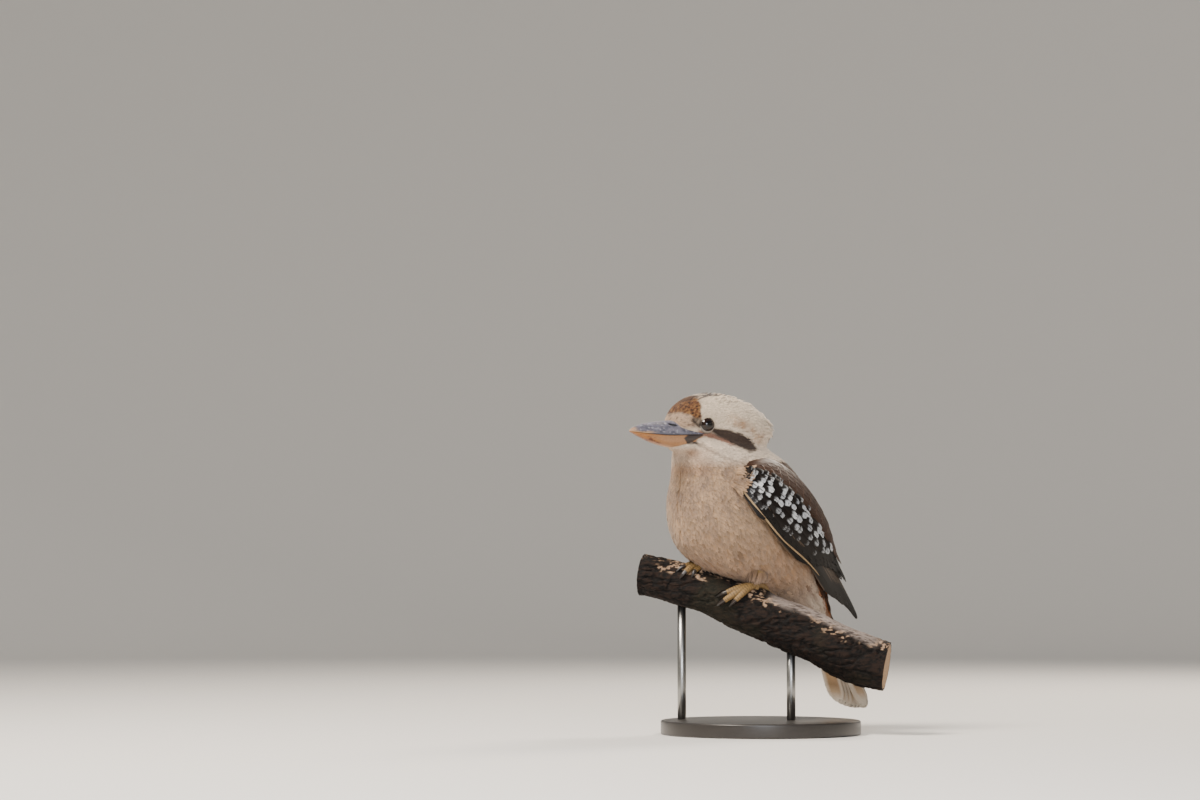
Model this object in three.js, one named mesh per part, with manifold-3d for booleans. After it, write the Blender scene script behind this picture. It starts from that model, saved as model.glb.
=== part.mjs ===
// A laughing kookaburra, life size, gripping a short cut length of branch on a plain display stand.
// Millimetres, +Z up, -Y the way the bird faces, +X the bird's left side.
// The model is laid out from the point midway between the feet, and moved onto its base at the end.
import * as THREE from 'three';
import { mergeVertices } from 'three/addons/utils/BufferGeometryUtils.js';
import Module from 'manifold-3d';

const wasm = await Module();
wasm.setup();

// Driving sizes
const gap = 0.3; // kept between solids that touch
const sides = [['left', 1], ['right', -1]];

const billTipY = -112.5;
const billGapeY = -35;
const mouthZ = 137.4;
const billFeatherY = -63; // where the forehead feathers meet the top of the bill

const eyeRadius = 7.6;
const eyeCentre = new THREE.Vector3(19.2, -37, 146.2);

const tailRoot = new THREE.Vector3(0, 102, 16);
const tailTip = new THREE.Vector3(0, 180, -117);
const tailWidth = 58; // across the closed tips

const footSpread = 22; // each foot from the middle
const footStagger = 9; // left foot back, right foot forward

const perchTurn = 38; // degrees of the branch from the bird's left side towards its tail
const perchEnds = [-76, 152]; // along the branch, level distance from the middle of the feet

const baseRadius = 92;
const baseHeight = 13;
const baseCentre = new THREE.Vector2(28, 22);
const tailClearance = 7; // from the tail tip down to the top of the base
const rodRadius = 4;
const rodPlaces = [-38, 64]; // along the branch

// Catmull-Rom value of one key between the stations of a table.
function between(stations, key, s) {
  const last = stations.length - 1;
  const i = Math.min(Math.floor(s), last - 1);
  const f = s - i;
  const at = (k) => stations[Math.min(Math.max(k, 0), last)][key];
  const [a, b, c, d] = [at(i - 1), at(i), at(i + 1), at(i + 2)];
  return b + 0.5 * f * (c - a + f * (2 * a - 5 * b + 4 * c - d + f * (3 * (b - c) + d - a)));
}

// A solid from a list of faces, turned to face out.
function solidFrom(points, faces) {
  const make = (list) => new wasm.Manifold(new wasm.Mesh({
    numProp: 3,
    vertProperties: new Float32Array(points.flatMap((p) => [p.x, p.y, p.z])),
    triVerts: new Uint32Array(list.flat()),
  }));
  const made = make(faces);
  return made.volume() > 0 ? made : make(faces.map(([a, b, c]) => [a, c, b]));
}

// A solid from a closed three.js geometry.
function solidOf(geometry) {
  const bare = geometry.index ? geometry.toNonIndexed() : geometry.clone();
  const position = new THREE.BufferGeometry().setAttribute('position', bare.getAttribute('position'));
  const merged = mergeVertices(position, 1e-3);
  const xyz = merged.attributes.position;
  const corner = (_, i) => new THREE.Vector3().fromBufferAttribute(xyz, i);
  const points = Array.from({ length: xyz.count }, corner);
  const index = Array.from(merged.index.array);
  const faces = Array.from({ length: index.length / 3 }, (_, i) => index.slice(3 * i, 3 * i + 3));
  return solidFrom(points, faces.filter(([a, b, c]) => a !== b && b !== c && c !== a));
}

// Rings of points, one after another, closed at both ends.
function loft(rings) {
  const n = rings[0].length;
  const points = rings.flat();
  const faces = [];
  for (let i = 0; i < rings.length - 1; i++) {
    for (let j = 0; j < n; j++) {
      const [a, b] = [i * n + j, i * n + (j + 1) % n];
      faces.push([a, b, b + n], [a, b + n, a + n]);
    }
  }
  for (const [ring, flip] of [[0, true], [rings.length - 1, false]]) {
    const middle = rings[ring].reduce((sum, p) => sum.add(p), new THREE.Vector3()).divideScalar(n);
    points.push(middle);
    for (let j = 0; j < n; j++) {
      const [a, b] = [ring * n + j, ring * n + (j + 1) % n];
      faces.push(flip ? [points.length - 1, b, a] : [points.length - 1, a, b]);
    }
  }
  return solidFrom(points, faces);
}

// A round bar through a list of points, with a radius at each. grow makes it that much larger all over.
function bar(points, radii, steps, around = 8, grow = 0) {
  const curve = new THREE.CatmullRomCurve3(points);
  const frames = curve.computeFrenetFrames(steps);
  const table = radii.map((r) => ({ r }));
  const rings = [];
  for (let i = 0; i <= steps; i++) {
    const beyond = i === 0 ? -grow : i === steps ? grow : 0;
    const middle = curve.getPoint(i / steps).addScaledVector(curve.getTangent(i / steps), beyond);
    const r = between(table, 'r', (i / steps) * (radii.length - 1)) + grow;
    rings.push(Array.from({ length: around }, (_, j) => {
      const a = (2 * Math.PI * j) / around;
      return middle.clone()
        .addScaledVector(frames.normals[i], r * Math.cos(a))
        .addScaledVector(frames.binormals[i], r * Math.sin(a));
    }));
  }
  return loft(rings);
}

function ball(centre, radius, detail = 16, scale = [1, 1, 1]) {
  const shape = new THREE.SphereGeometry(radius, detail, Math.round(detail * 0.6));
  return solidOf(shape.scale(...scale).translate(centre.x, centre.y, centre.z));
}

const union = (pieces) => pieces.reduce((sum, piece) => sum.add(piece));
const largest = (solid) => solid.decompose().reduce((a, b) => (b.volume() > a.volume() ? b : a));
const mirrored = (solid) => solid.mirror([1, 0, 0]);

// The half of space above or below a plane that slopes up towards the tail.
function halfSpace(y, z, slope, above) {
  const size = 500;
  const box = new THREE.BoxGeometry(size, size, size);
  box.translate(0, 0, above ? size / 2 : -size / 2);
  box.rotateX(Math.atan(slope)).translate(0, y, z);
  return solidOf(box);
}

// Body
// Each station is a section square to the spine: its middle, the spine's lean from straight down towards
// the tail in degrees, and how far the belly side, the back side and the flanks reach.
const bodyStations = [
  { y: -4, z: 146, lean: 4, belly: 34, back: 36, flank: 28 },
  { y: -1, z: 128, lean: 8, belly: 51, back: 46, flank: 33 },
  { y: 5, z: 112, lean: 16, belly: 60, back: 50, flank: 39 },
  { y: 13, z: 97, lean: 24, belly: 75, back: 54, flank: 47 },
  { y: 24, z: 79, lean: 31, belly: 82, back: 58, flank: 52 },
  { y: 39, z: 59, lean: 35, belly: 74, back: 60, flank: 53.5 },
  { y: 57, z: 36, lean: 35, belly: 61, back: 57, flank: 50 },
  { y: 76, z: 12, lean: 34, belly: 46, back: 47, flank: 42 },
  { y: 95, z: -12, lean: 32, belly: 32, back: 31, flank: 31 },
  { y: 113, z: -33, lean: 30, belly: 24, back: 19, flank: 24 },
  { y: 131, z: -56, lean: 30, belly: 16, back: 10, flank: 19 },
  { y: 147, z: -79, lean: 30, belly: 8, back: 4, flank: 14 },
];

function bodySolid(grow, along = 20, around = 20) {
  const rings = [];
  for (let i = 0; i <= along; i++) {
    const s = (i / along) * (bodyStations.length - 1);
    const value = (key) => between(bodyStations, key, s);
    const lean = THREE.MathUtils.degToRad(value('lean'));
    const up = new THREE.Vector3(0, Math.cos(lean), Math.sin(lean));
    rings.push(Array.from({ length: around }, (_, j) => {
      const a = (2 * Math.PI * j) / around;
      const reach = (Math.sin(a) > 0 ? value('back') : value('belly')) + grow;
      const square = 0.9; // below 1 makes the section fuller than an ellipse
      const x = Math.sign(Math.cos(a)) * Math.abs(Math.cos(a)) ** square * (value('flank') + grow);
      const v = Math.sign(Math.sin(a)) * Math.abs(Math.sin(a)) ** square * reach;
      return new THREE.Vector3(x, value('y'), value('z')).addScaledVector(up, v);
    }));
  }
  return loft(rings);
}

// Head
// Each station is an upright section: its top, its bottom, and the half width across the cheeks.
// pinch narrows it at the height of the mouth, so that the bill stands clear of the face.
const headStations = [
  { y: -66, top: 147.5, bottom: 124.5, half: 6, pinch: 0 },
  { y: -61, top: 157, bottom: 122.5, half: 13, pinch: 0.25 },
  { y: -54, top: 165, bottom: 120, half: 18.5, pinch: 0.28 },
  { y: -45, top: 171, bottom: 116, half: 22.5, pinch: 0.22 },
  { y: -35, top: 175, bottom: 114, half: 25.5, pinch: 0.1 },
  { y: -22, top: 177, bottom: 112, half: 29.5, pinch: 0 },
  { y: -8, top: 176.5, bottom: 110, half: 33, pinch: 0 },
  { y: 8, top: 174, bottom: 110, half: 34.5, pinch: 0 },
  { y: 22, top: 169.5, bottom: 111, half: 33.5, pinch: 0 },
  { y: 34, top: 162, bottom: 114, half: 29.5, pinch: 0 },
  { y: 42, top: 151.5, bottom: 120, half: 21, pinch: 0 },
  { y: 46.5, top: 138, bottom: 130, half: 7, pinch: 0 },
];

function headSolid(grow, along = 20, around = 22) {
  const rings = [];
  for (let i = 0; i <= along; i++) {
    const s = (i / along) * (headStations.length - 1);
    const value = (key) => between(headStations, key, s);
    const widest = value('bottom') + 0.52 * (value('top') - value('bottom'));
    rings.push(Array.from({ length: around }, (_, j) => {
      const a = (2 * Math.PI * j) / around;
      const reach = Math.sin(a) > 0 ? value('top') - widest : widest - value('bottom');
      const square = Math.sin(a) > 0 ? 0.86 : 0.95;
      const z = widest + Math.sign(Math.sin(a)) * Math.abs(Math.sin(a)) ** square * (reach + grow);
      const nearMouth = Math.exp(-(((z - mouthZ + 2) / 7.5) ** 2));
      const half = (value('half') + grow) * (1 - value('pinch') * nearMouth);
      const x = Math.sign(Math.cos(a)) * Math.abs(Math.cos(a)) ** square * half;
      return new THREE.Vector3(x, value('y'), z);
    }));
  }
  return loft(rings);
}

// Lids: a low ring round each eye, set on the cheek.
function lidRing(side) {
  const out = new THREE.Vector3(0.93 * side, -0.36, 0.04).normalize();
  const ring = new THREE.TorusGeometry(6.6, 1.5, 6, 12);
  ring.applyQuaternion(new THREE.Quaternion().setFromUnitVectors(new THREE.Vector3(0, 0, 1), out));
  const middle = new THREE.Vector3(eyeCentre.x * side, eyeCentre.y, eyeCentre.z).addScaledVector(out, 4.6);
  return solidOf(ring.translate(middle.x, middle.y, middle.z));
}

// Bill
// Each station is an upright section: the ridge of the upper half, the keel of the lower half, and the half
// width at the mouth line.
const billStations = [
  { y: billTipY, ridge: 139.8, keel: 138.6, half: 0.8 },
  { y: -109.5, ridge: 141.8, keel: 137, half: 2.4 },
  { y: -102, ridge: 144.6, keel: 134, half: 4.6 },
  { y: -90, ridge: 147.2, keel: 130, half: 7.6 },
  { y: -76, ridge: 149, keel: 126.8, half: 10.8 },
  { y: billFeatherY, ridge: 150, keel: 125.2, half: 13.8 },
  { y: -50, ridge: 147, keel: 125.8, half: 17.2 },
  { y: -42, ridge: 143, keel: 129, half: 19.6 },
  { y: billGapeY, ridge: 139.6, keel: 134, half: 20 },
];

// The mouth line is level, and dips a little behind the hooked tip.
function mouthLine(y) {
  const back = (y - billTipY) / (billGapeY - billTipY);
  return mouthZ + 1.2 * Math.exp(-back * 14) - 1.4 * Math.sin(Math.PI * back) ** 2;
}

function billHalf(upper, grow, along = 12, around = 11) {
  const rings = [];
  const room = upper ? gap / 2 : -gap / 2;
  for (let i = 0; i <= along; i++) {
    const s = (i / along) * (billStations.length - 1);
    const value = (key) => between(billStations, key, s);
    const line = mouthLine(value('y')) + (grow ? 0 : room);
    const reach = upper ? value('ridge') - line : value('keel') - line;
    rings.push(Array.from({ length: around }, (_, j) => {
      const a = (Math.PI * j) / (around - 1);
      const x = Math.cos(a) * (value('half') + grow) * (upper ? 1 : 0.97);
      const round = Math.max(0, Math.sin(a)) ** (upper ? 1.15 : 0.8); // a ridged top, and a broad underside
      const outward = reach + Math.sign(reach) * grow;
      return new THREE.Vector3(x, value('y') + (i === 0 ? -grow : 0), line + (outward || 0) * round);
    }));
  }
  return loft(rings);
}

// A slit nostril on each side of the upper half, close to the feathers.
function nostril(side) {
  const slit = new THREE.CapsuleGeometry(0.9, 5, 2, 6);
  slit.rotateX(Math.PI / 2 + 0.22).translate(9.4 * side, -67, 145);
  return solidOf(slit);
}

// Feathers
// One vane: a flat, tapered blade with a low ridge, from a root to a tip along points with normals.
// Its faces are split alike above and below.
function vane(points, normals, stops, width, thick, tipShare) {
  const n = points.length;
  const corners = [];
  const faces = [];
  for (let i = 0; i < n - 1; i++) {
    const s = stops[i];
    const ahead = points[i + 1].clone().sub(points[Math.max(i - 1, 0)]).normalize();
    const across = new THREE.Vector3().crossVectors(normals[i], ahead).normalize();
    const swell = 0.45 + 0.55 * Math.sin(Math.min(1, s / (1 - tipShare)) * Math.PI / 2);
    const close = s > 1 - tipShare ? Math.sqrt(Math.max(0, 1 - ((s - 1 + tipShare) / tipShare) ** 2)) : 1;
    const half = (width / 2) * swell * close;
    const rise = (thick / 2) * (1 - 0.45 * s);
    corners.push(
      points[i].clone().addScaledVector(across, half),
      points[i].clone().addScaledVector(normals[i], rise),
      points[i].clone().addScaledVector(across, -half),
      points[i].clone().addScaledVector(normals[i], -rise),
    );
  }
  corners.push(points[n - 1].clone());
  for (let i = 0; i < n - 2; i++) {
    const [l, t, r, b] = [0, 1, 2, 3].map((k) => 4 * i + k);
    faces.push([l, t, t + 4], [l, t + 4, l + 4], [t, r, r + 4], [t, r + 4, t + 4]);
    faces.push([b, l, b + 4], [l, l + 4, b + 4], [r, b, r + 4], [b, b + 4, r + 4]);
  }
  faces.push([0, 3, 1], [1, 3, 2]);
  const end = 4 * (n - 2);
  const tip = 4 * (n - 1);
  faces.push([end, end + 1, tip], [end + 1, end + 2, tip], [end + 2, end + 3, tip], [end + 3, end, tip]);
  return solidFrom(corners, faces);
}

// A vane laid on a surface between two places on it. lift is its height at the root and at the tip.
// roll turns it about its length, so that neighbours lie like roof slates.
// stops are the places of its cross-sections, closer together towards the rounded tip.
const longStops = [0, 0.4, 0.78, 0.94, 1];
const shortStops = [0, 0.45, 0.86, 1];

function laidVane(surface, from, to, shape) {
  const { width, lift, thick = 1.1, roll = 0, stops = longStops, tipShare = 0.25 } = shape;
  const points = [];
  const normals = [];
  for (const s of stops) {
    const { point, normal } = surface(from[0] + (to[0] - from[0]) * s, from[1] + (to[1] - from[1]) * s);
    points.push(point.addScaledVector(normal, lift[0] + (lift[1] - lift[0]) * s));
    normals.push(normal);
  }
  const length = points[points.length - 1].clone().sub(points[0]).normalize();
  const turn = new THREE.Quaternion().setFromAxisAngle(length, roll);
  const turned = normals.map((normal) => normal.clone().applyQuaternion(turn));
  return vane(points, turned, stops, width, thick, tipShare);
}

// Wing
// The folded wing's outer face from the bend to the tip: its lower edge and its upper edge.
// bulge is how far it bows out between them.
const wingStations = [
  { lowX: 45, lowY: -20, lowZ: 87, highX: 39, highY: -5, highZ: 107, bulge: 3 },
  { lowX: 55, lowY: -5, lowZ: 64, highX: 47, highY: 24, highZ: 101, bulge: 6 },
  { lowX: 57.5, lowY: 20, lowZ: 41, highX: 48, highY: 57, highZ: 83, bulge: 8 },
  { lowX: 53, lowY: 60, lowZ: 19, highX: 39, highY: 92, highZ: 57, bulge: 8 },
  { lowX: 39, lowY: 102, lowZ: -6, highX: 27, highY: 119, highZ: 23, bulge: 5 },
  { lowX: 21, lowY: 155, lowZ: -36, highX: 17, highY: 161, highZ: -28, bulge: 1 },
];
const wingSpan = wingStations.length - 1;

function wingSurface(u, v) {
  const at = (uu, vv) => {
    const s = Math.min(Math.max(uu, 0), 1) * wingSpan;
    const value = (key) => between(wingStations, key, s);
    const low = new THREE.Vector3(value('lowX'), value('lowY'), value('lowZ'));
    const high = new THREE.Vector3(value('highX'), value('highY'), value('highZ'));
    const point = low.lerp(high, vv);
    point.x += value('bulge') * 4 * vv * (1 - vv);
    return point;
  };
  const step = 0.01;
  const point = at(u, v);
  const alongWing = at(Math.min(u + step, 1), v).sub(at(Math.min(u + step, 1) - 2 * step, v));
  const acrossWing = at(u, v + step).sub(at(u, v - step));
  const normal = new THREE.Vector3().crossVectors(acrossWing, alongWing).normalize();
  return { point, normal: normal.x < 0 ? normal.negate() : normal };
}

// The arm and hand under the feathers: a plate that follows the wing's face and reaches in to the flank.
function wingArm() {
  const rings = [];
  const steps = 6;
  const around = 5;
  for (let i = 0; i <= steps; i++) {
    const u = 0.01 + 0.56 * (i / steps);
    const fade = Math.sin((Math.PI / 2) * Math.min(1, 0.12 + 0.88 * (1 - i / steps)));
    const bend = i === 0 ? 0.25 : 0; // the wing's bend is rounded off
    const low = 0.1 + bend;
    const high = 0.1 + (1 - bend) * fade;
    const face = (j, depth) => {
      const { point, normal } = wingSurface(u, low + ((high - low) * j) / (around - 1));
      return point.addScaledVector(normal, depth);
    };
    rings.push([
      ...Array.from({ length: around }, (_, j) => face(j, 0.7 - 8 * bend)),
      ...Array.from({ length: around }, (_, j) => face(around - 1 - j, -12 * fade - 2)),
    ]);
  }
  return loft(rings);
}

// Each tier: how many vanes, where on the wing its roots and tips run, and how high over the wing it lies.
const wingTiers = [
  {
    name: 'primaries',
    count: 6,
    width: 12.5,
    root: [[0.42, 0.16], [0.3, 0.3]],
    tip: [[0.86, 0.06], [1, 0.6]],
    lift: [-0.9, -1.2],
  },
  {
    name: 'secondaries',
    count: 6,
    width: 17,
    root: [[0.14, 0.2], [0.42, 0.5]],
    tip: [[0.6, 0.02], [0.84, 0.74]],
    lift: [-0.7, 1.4],
  },
  {
    name: 'tertials',
    count: 3,
    width: 18,
    root: [[0.34, 0.66], [0.46, 0.8]],
    tip: [[0.78, 0.72], [0.88, 0.94]],
    lift: [-0.6, 3.2],
  },
  {
    name: 'greater coverts',
    count: 7,
    width: 15,
    root: [[0.02, 0.4], [0.44, 0.62]],
    tip: [[0.2, 0.24], [0.62, 0.52]],
    lift: [-0.6, 3.4],
    stops: shortStops,
  },
  {
    name: 'median coverts',
    count: 6,
    width: 17,
    root: [[0, 0.64], [0.4, 0.8]],
    tip: [[0.14, 0.52], [0.56, 0.76]],
    lift: [-0.6, 4.4],
    stops: shortStops,
  },
  {
    name: 'scapulars',
    count: 5,
    width: 25,
    root: [[0.04, 0.84], [0.4, 0.84]],
    tip: [[0.24, 1.04], [0.68, 1.08]],
    lift: [-0.2, 5.4],
    stops: shortStops,
  },
];

function leftWing() {
  const slateRoll = 0.13; // radians each vane is turned, so that its neighbour lies over it
  const pieces = [wingArm()];
  for (const tier of wingTiers) {
    for (let k = 0; k < tier.count; k++) {
      const t = k / (tier.count - 1);
      const place = ([a, b]) => [a[0] + (b[0] - a[0]) * t, a[1] + (b[1] - a[1]) * t];
      const uneven = 0.008 * Math.sin(5 * k + tier.count);
      const tip = place(tier.tip);
      pieces.push(laidVane(wingSurface, place(tier.root), [tip[0] + uneven, tip[1]], {
        width: tier.width, lift: tier.lift, roll: slateRoll, stops: tier.stops,
      }));
    }
  }
  return pieces.reduce((sum, piece) => sum.add(piece));
}

// Tail
// The closed tail's upper face: u runs from the root to the tip, v from the bird's right to its left.
function tailSurface(u, v) {
  const alongTail = tailTip.clone().sub(tailRoot);
  const spread = (tailWidth / 2) * (0.55 + 0.45 * u);
  const normal = new THREE.Vector3(0, -alongTail.z, alongTail.y).normalize();
  const sag = 3 * Math.sin(Math.PI * u); // the tail bows a little towards the back
  const crown = -3 * v * v; // the outer feathers lie lower than the middle ones
  const point = tailRoot.clone().addScaledVector(alongTail, u).addScaledVector(normal, sag + crown);
  point.x = v * spread;
  const tilt = new THREE.Quaternion().setFromAxisAngle(alongTail.clone().normalize(), 0.22 * v);
  return { point, normal: normal.applyQuaternion(tilt) };
}

const tailPairs = 6;
const tailFeatherWidth = 20;
const tailPly = 1.05; // from one feather down to the next
const tailStops = [0, 0.5, 0.88, 0.97, 1];

function tailFeathers() {
  const pieces = [];
  for (let k = 0; k < tailPairs; k++) {
    for (const [, side] of sides) {
      const v = (side * (k + 0.5)) / tailPairs;
      const down = -tailPly * (k + (side < 0 ? 0.5 : 0));
      const reach = 1 - 0.0025 * k * k;
      pieces.push(laidVane(tailSurface, [0.12, v * 0.35], [reach, v * 0.74], {
        width: tailFeatherWidth,
        thick: 0.9,
        lift: [down - 1.5, down - 0.4],
        stops: tailStops,
        tipShare: 0.12,
      }));
    }
  }
  return union(pieces);
}

// Perch
// The branch: heights of its middle, and its radius, at level distances along it.
const perchStations = [
  { t: -76, z: 9.5, r: 19 },
  { t: -50, z: 2, r: 19 },
  { t: -22, z: -7, r: 19.6 },
  { t: 8, z: -21, r: 21.8 },
  { t: 40, z: -35.5, r: 22.6 },
  { t: 74, z: -47.5, r: 22.4 },
  { t: 112, z: -64, r: 24 },
  { t: 152, z: -75, r: 22.2 },
];
const perchAlong = new THREE.Vector3(
  Math.cos(THREE.MathUtils.degToRad(perchTurn)), Math.sin(THREE.MathUtils.degToRad(perchTurn)), 0);
const perchAcross = new THREE.Vector3(perchAlong.y, -perchAlong.x, 0); // towards the bird's front left

function perchAt(t) {
  const s = ((t - perchEnds[0]) / (perchEnds[1] - perchEnds[0])) * (perchStations.length - 1);
  const middle = perchAlong.clone().multiplyScalar(t).setZ(between(perchStations, 'z', s));
  return { middle, radius: between(perchStations, 'r', s) };
}

function perchSolid(grow, along = 14, around = 18) {
  const rings = [];
  for (let i = 0; i <= along; i++) {
    const t = perchEnds[0] + ((perchEnds[1] - perchEnds[0]) * i) / along;
    const { middle, radius } = perchAt(t);
    const ahead = perchAt(t + 1).middle.sub(perchAt(t - 1).middle).normalize();
    const up = new THREE.Vector3().crossVectors(ahead, perchAcross).normalize();
    const shift = i === 0 ? -grow : i === along ? grow : 0;
    rings.push(Array.from({ length: around }, (_, j) => {
      const a = (2 * Math.PI * j) / around;
      const knots = 1 + 0.03 * Math.sin(3 * a + t / 17) + 0.018 * Math.sin(2 * a - t / 9);
      return middle.clone().addScaledVector(ahead, shift)
        .addScaledVector(perchAcross, (radius * knots + grow) * Math.cos(a))
        .addScaledVector(up, (radius * knots + grow) * Math.sin(a));
    }));
  }
  return loft(rings);
}

// A point on or over the bark: t along the branch, turn in radians over the top towards the bird's front.
function overPerch(t, turn, height) {
  const { middle, radius } = perchAt(t);
  const ahead = perchAt(t + 1).middle.sub(perchAt(t - 1).middle).normalize();
  const up = new THREE.Vector3().crossVectors(ahead, perchAcross).normalize();
  if (up.z < 0) up.negate();
  return middle
    .addScaledVector(perchAcross, (radius + height) * Math.sin(turn))
    .addScaledVector(up, (radius + height) * Math.cos(turn));
}

// Feet
// Toes: slant is millimetres along the branch for each radian round it, and reach is how far round it goes.
const toes = [
  { name: 'inner', slant: -19, reach: 0.95, radius: 2.8 },
  { name: 'middle', slant: -13, reach: 1.28, radius: 3.1 },
  { name: 'outer', slant: -7.5, reach: 1.1, radius: 2.9 },
  { name: 'hind', slant: 10, reach: -0.95, radius: 3 },
];

function footPlace(side) {
  const place = new THREE.Vector3(footSpread * side, footStagger * side, 0);
  const t = place.dot(perchAlong);
  const turn = Math.asin(place.dot(perchAcross) / perchAt(t).radius);
  return { t, turn };
}

function toePoint(foot, toe, share, side) {
  const turn = foot.turn + toe.reach * share;
  const slant = side > 0 ? toe.slant : toe.slant + 4;
  return overPerch(foot.t + slant * Math.abs(toe.reach * share), turn, toe.radius * (1.02 - 0.16 * share));
}

function footSolid(side, grow) {
  const foot = footPlace(side);
  const pieces = toes.map((toe) => bar(
    [0, 0.33, 0.66, 1].map((share) => toePoint(foot, toe, share, side)),
    [1.15, 1, 1.04, 0.8].map((swell) => toe.radius * swell), 5, 6, grow,
  ));
  pieces.push(ball(overPerch(foot.t, foot.turn, 3), 4.4 + grow, 8));
  return union(pieces);
}

function clawSolid(side, toe, grow) {
  const foot = footPlace(side);
  const base = toePoint(foot, toe, 0.98, side);
  const tipShare = 1 + (toe.reach > 0 ? 0.4 : 0.45) / Math.abs(toe.reach) / 1.1;
  const middle = toePoint(foot, toe, 1.2, side).lerp(overPerch(foot.t, foot.turn, 20), 0.04);
  const tip = overPerch(
    foot.t + (side > 0 ? toe.slant : toe.slant + 4) * Math.abs(toe.reach * tipShare),
    foot.turn + toe.reach * tipShare, 0.9);
  return bar([base, middle, tip], [toe.radius * 0.74, toe.radius * 0.6, 0.35], 4, 6, grow);
}

// The feathered thigh, which shows below the belly, and the short bare leg under it.
function thighSolid(side, grow) {
  const foot = footPlace(side);
  const ankle = overPerch(foot.t, foot.turn, 13);
  const knee = new THREE.Vector3(22 * side, 27, 23);
  const shin = bar([knee, knee.clone().lerp(ankle, 0.6), ankle], [14, 13, 10], 2, 8, grow);
  return ball(knee, 18 + grow, 10).add(shin);
}

function legSolid(side, grow) {
  const foot = footPlace(side);
  return bar([3, 9, 18].map((h) => overPerch(foot.t, foot.turn, h)), [3.4, 2.9, 3.1], 3, 9, grow);
}

// Stand
function standBase(top) {
  const bevel = 2;
  const foot = top - baseHeight;
  const outline = [
    [0, foot],
    [baseRadius - bevel, foot],
    [baseRadius, foot + bevel],
    [baseRadius, top - bevel],
    [baseRadius - bevel, top],
    [0, top],
  ];
  const disc = new THREE.LatheGeometry(outline.map(([r, z]) => new THREE.Vector2(r, z)), 40);
  return solidOf(disc.rotateX(Math.PI / 2).translate(baseCentre.x, baseCentre.y, 0));
}

function standRod(t, top) {
  const { middle } = perchAt(t);
  const length = middle.z - top;
  const rod = new THREE.CylinderGeometry(rodRadius, rodRadius, length, 20);
  rod.rotateX(Math.PI / 2).translate(middle.x, middle.y, top + gap + length / 2);
  return solidOf(rod);
}

// Materials
function finish(color, roughness, metalness = 0) {
  return new THREE.MeshStandardMaterial({ color, roughness, metalness });
}

const whitePlumage = finish('#cfc3b6', 0.95);
const brownPlumage = finish('#43332c', 0.9);
const barredPlumage = finish('#8a5a34', 0.9);
const billHorn = finish('#8d8890', 0.45);
const paleHorn = finish('#c29a72', 0.5);
const darkEye = finish('#120c0a', 0.05);
const scaledSkin = finish('#a58a5c', 0.7);
const clawHorn = finish('#2c2622', 0.4);
const bark = finish('#2b2320', 0.95);
const blackWood = finish('#26221f', 0.5);
const steel = finish('#8c8c8c', 0.35, 1);

// Assembly
const model = new THREE.Group();

function addNode(name, solid, material) {
  const { vertProperties, triVerts, numProp } = largest(solid).getMesh();
  const geometry = new THREE.BufferGeometry();
  const xyz = numProp === 3 ? vertProperties : vertProperties.filter((_, i) => i % numProp < 3);
  geometry.setAttribute('position', new THREE.BufferAttribute(new Float32Array(xyz), 3));
  geometry.setIndex(new THREE.BufferAttribute(triVerts, 1));
  geometry.computeVertexNormals();
  const mesh = new THREE.Mesh(geometry, material);
  mesh.name = name;
  model.add(mesh);
}

// Where the body is parted: a point of the middle plane and the slope towards the tail.
const neckTop = [0, 124, 0.14];
const neckFoot = [5, 110, 0.12];
const tailCut = [108, -29, 0.55];

const standTop = tailTip.z - tailClearance;
const perch = perchSolid(0);
const perchRoom = perchSolid(gap);
const upperRoom = billHalf(true, gap);
const lowerRoom = billHalf(false, gap);

const above = (cut) => halfSpace(cut[0], cut[1] + gap / 2, cut[2], true);
const below = (cut) => halfSpace(cut[0], cut[1] - gap / 2, cut[2], false);

const head = headSolid(0);
const body = bodySolid(0);
const bodyRoom = bodySolid(gap);
const flesh = head.add(body);

const eyes = sides.map(([name, side]) => [name, eyeCentre.clone().setX(eyeCentre.x * side)]);
const eyeRooms = union(eyes.map(([, centre]) => ball(centre, eyeRadius + gap, 12)));
const face = flesh.intersect(above(neckTop)).subtract(upperRoom).subtract(lowerRoom);
addNode('head', face.add(lidRing(1)).add(lidRing(-1)).subtract(eyeRooms), whitePlumage);
addNode('neck', flesh.intersect(below(neckTop)).intersect(above(neckFoot)), whitePlumage);
eyes.forEach(([name, centre]) => addNode(`eye_${name}`, ball(centre, eyeRadius, 12), darkEye));
const nostrils = nostril(1).add(nostril(-1));
addNode('bill_upper', billHalf(true, 0).subtract(nostrils).subtract(eyeRooms), billHorn);
addNode('bill_lower', billHalf(false, 0), paleHorn);

let torso = flesh.intersect(below(neckFoot)).intersect(above(tailCut)).subtract(perchRoom);
const tail = body.intersect(below(tailCut)).add(tailFeathers().intersect(below(tailCut)));

for (const [name, side] of sides) {
  const foot = footSolid(side, 0);
  const footRoom = footSolid(side, gap);
  const legRoom = legSolid(side, gap);
  const clawRooms = union(toes.map((toe) => clawSolid(side, toe, 2 * gap)));
  torso = torso.subtract(thighSolid(side, gap)).subtract(legRoom).subtract(footRoom).subtract(clawRooms);
  const thigh = thighSolid(side, 0).subtract(perchRoom).subtract(legRoom).subtract(footRoom);
  addNode(`thigh_${name}`, thigh, whitePlumage);
  addNode(`leg_${name}`, legSolid(side, 0).subtract(footRoom).subtract(perchRoom), scaledSkin);
  addNode(`foot_${name}`, foot.subtract(perchRoom), scaledSkin);
  for (const toe of toes) {
    const claw = clawSolid(side, toe, 0).subtract(footRoom).subtract(perchRoom);
    addNode(`claw_${name}_${toe.name}`, claw, clawHorn);
  }
}

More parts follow.
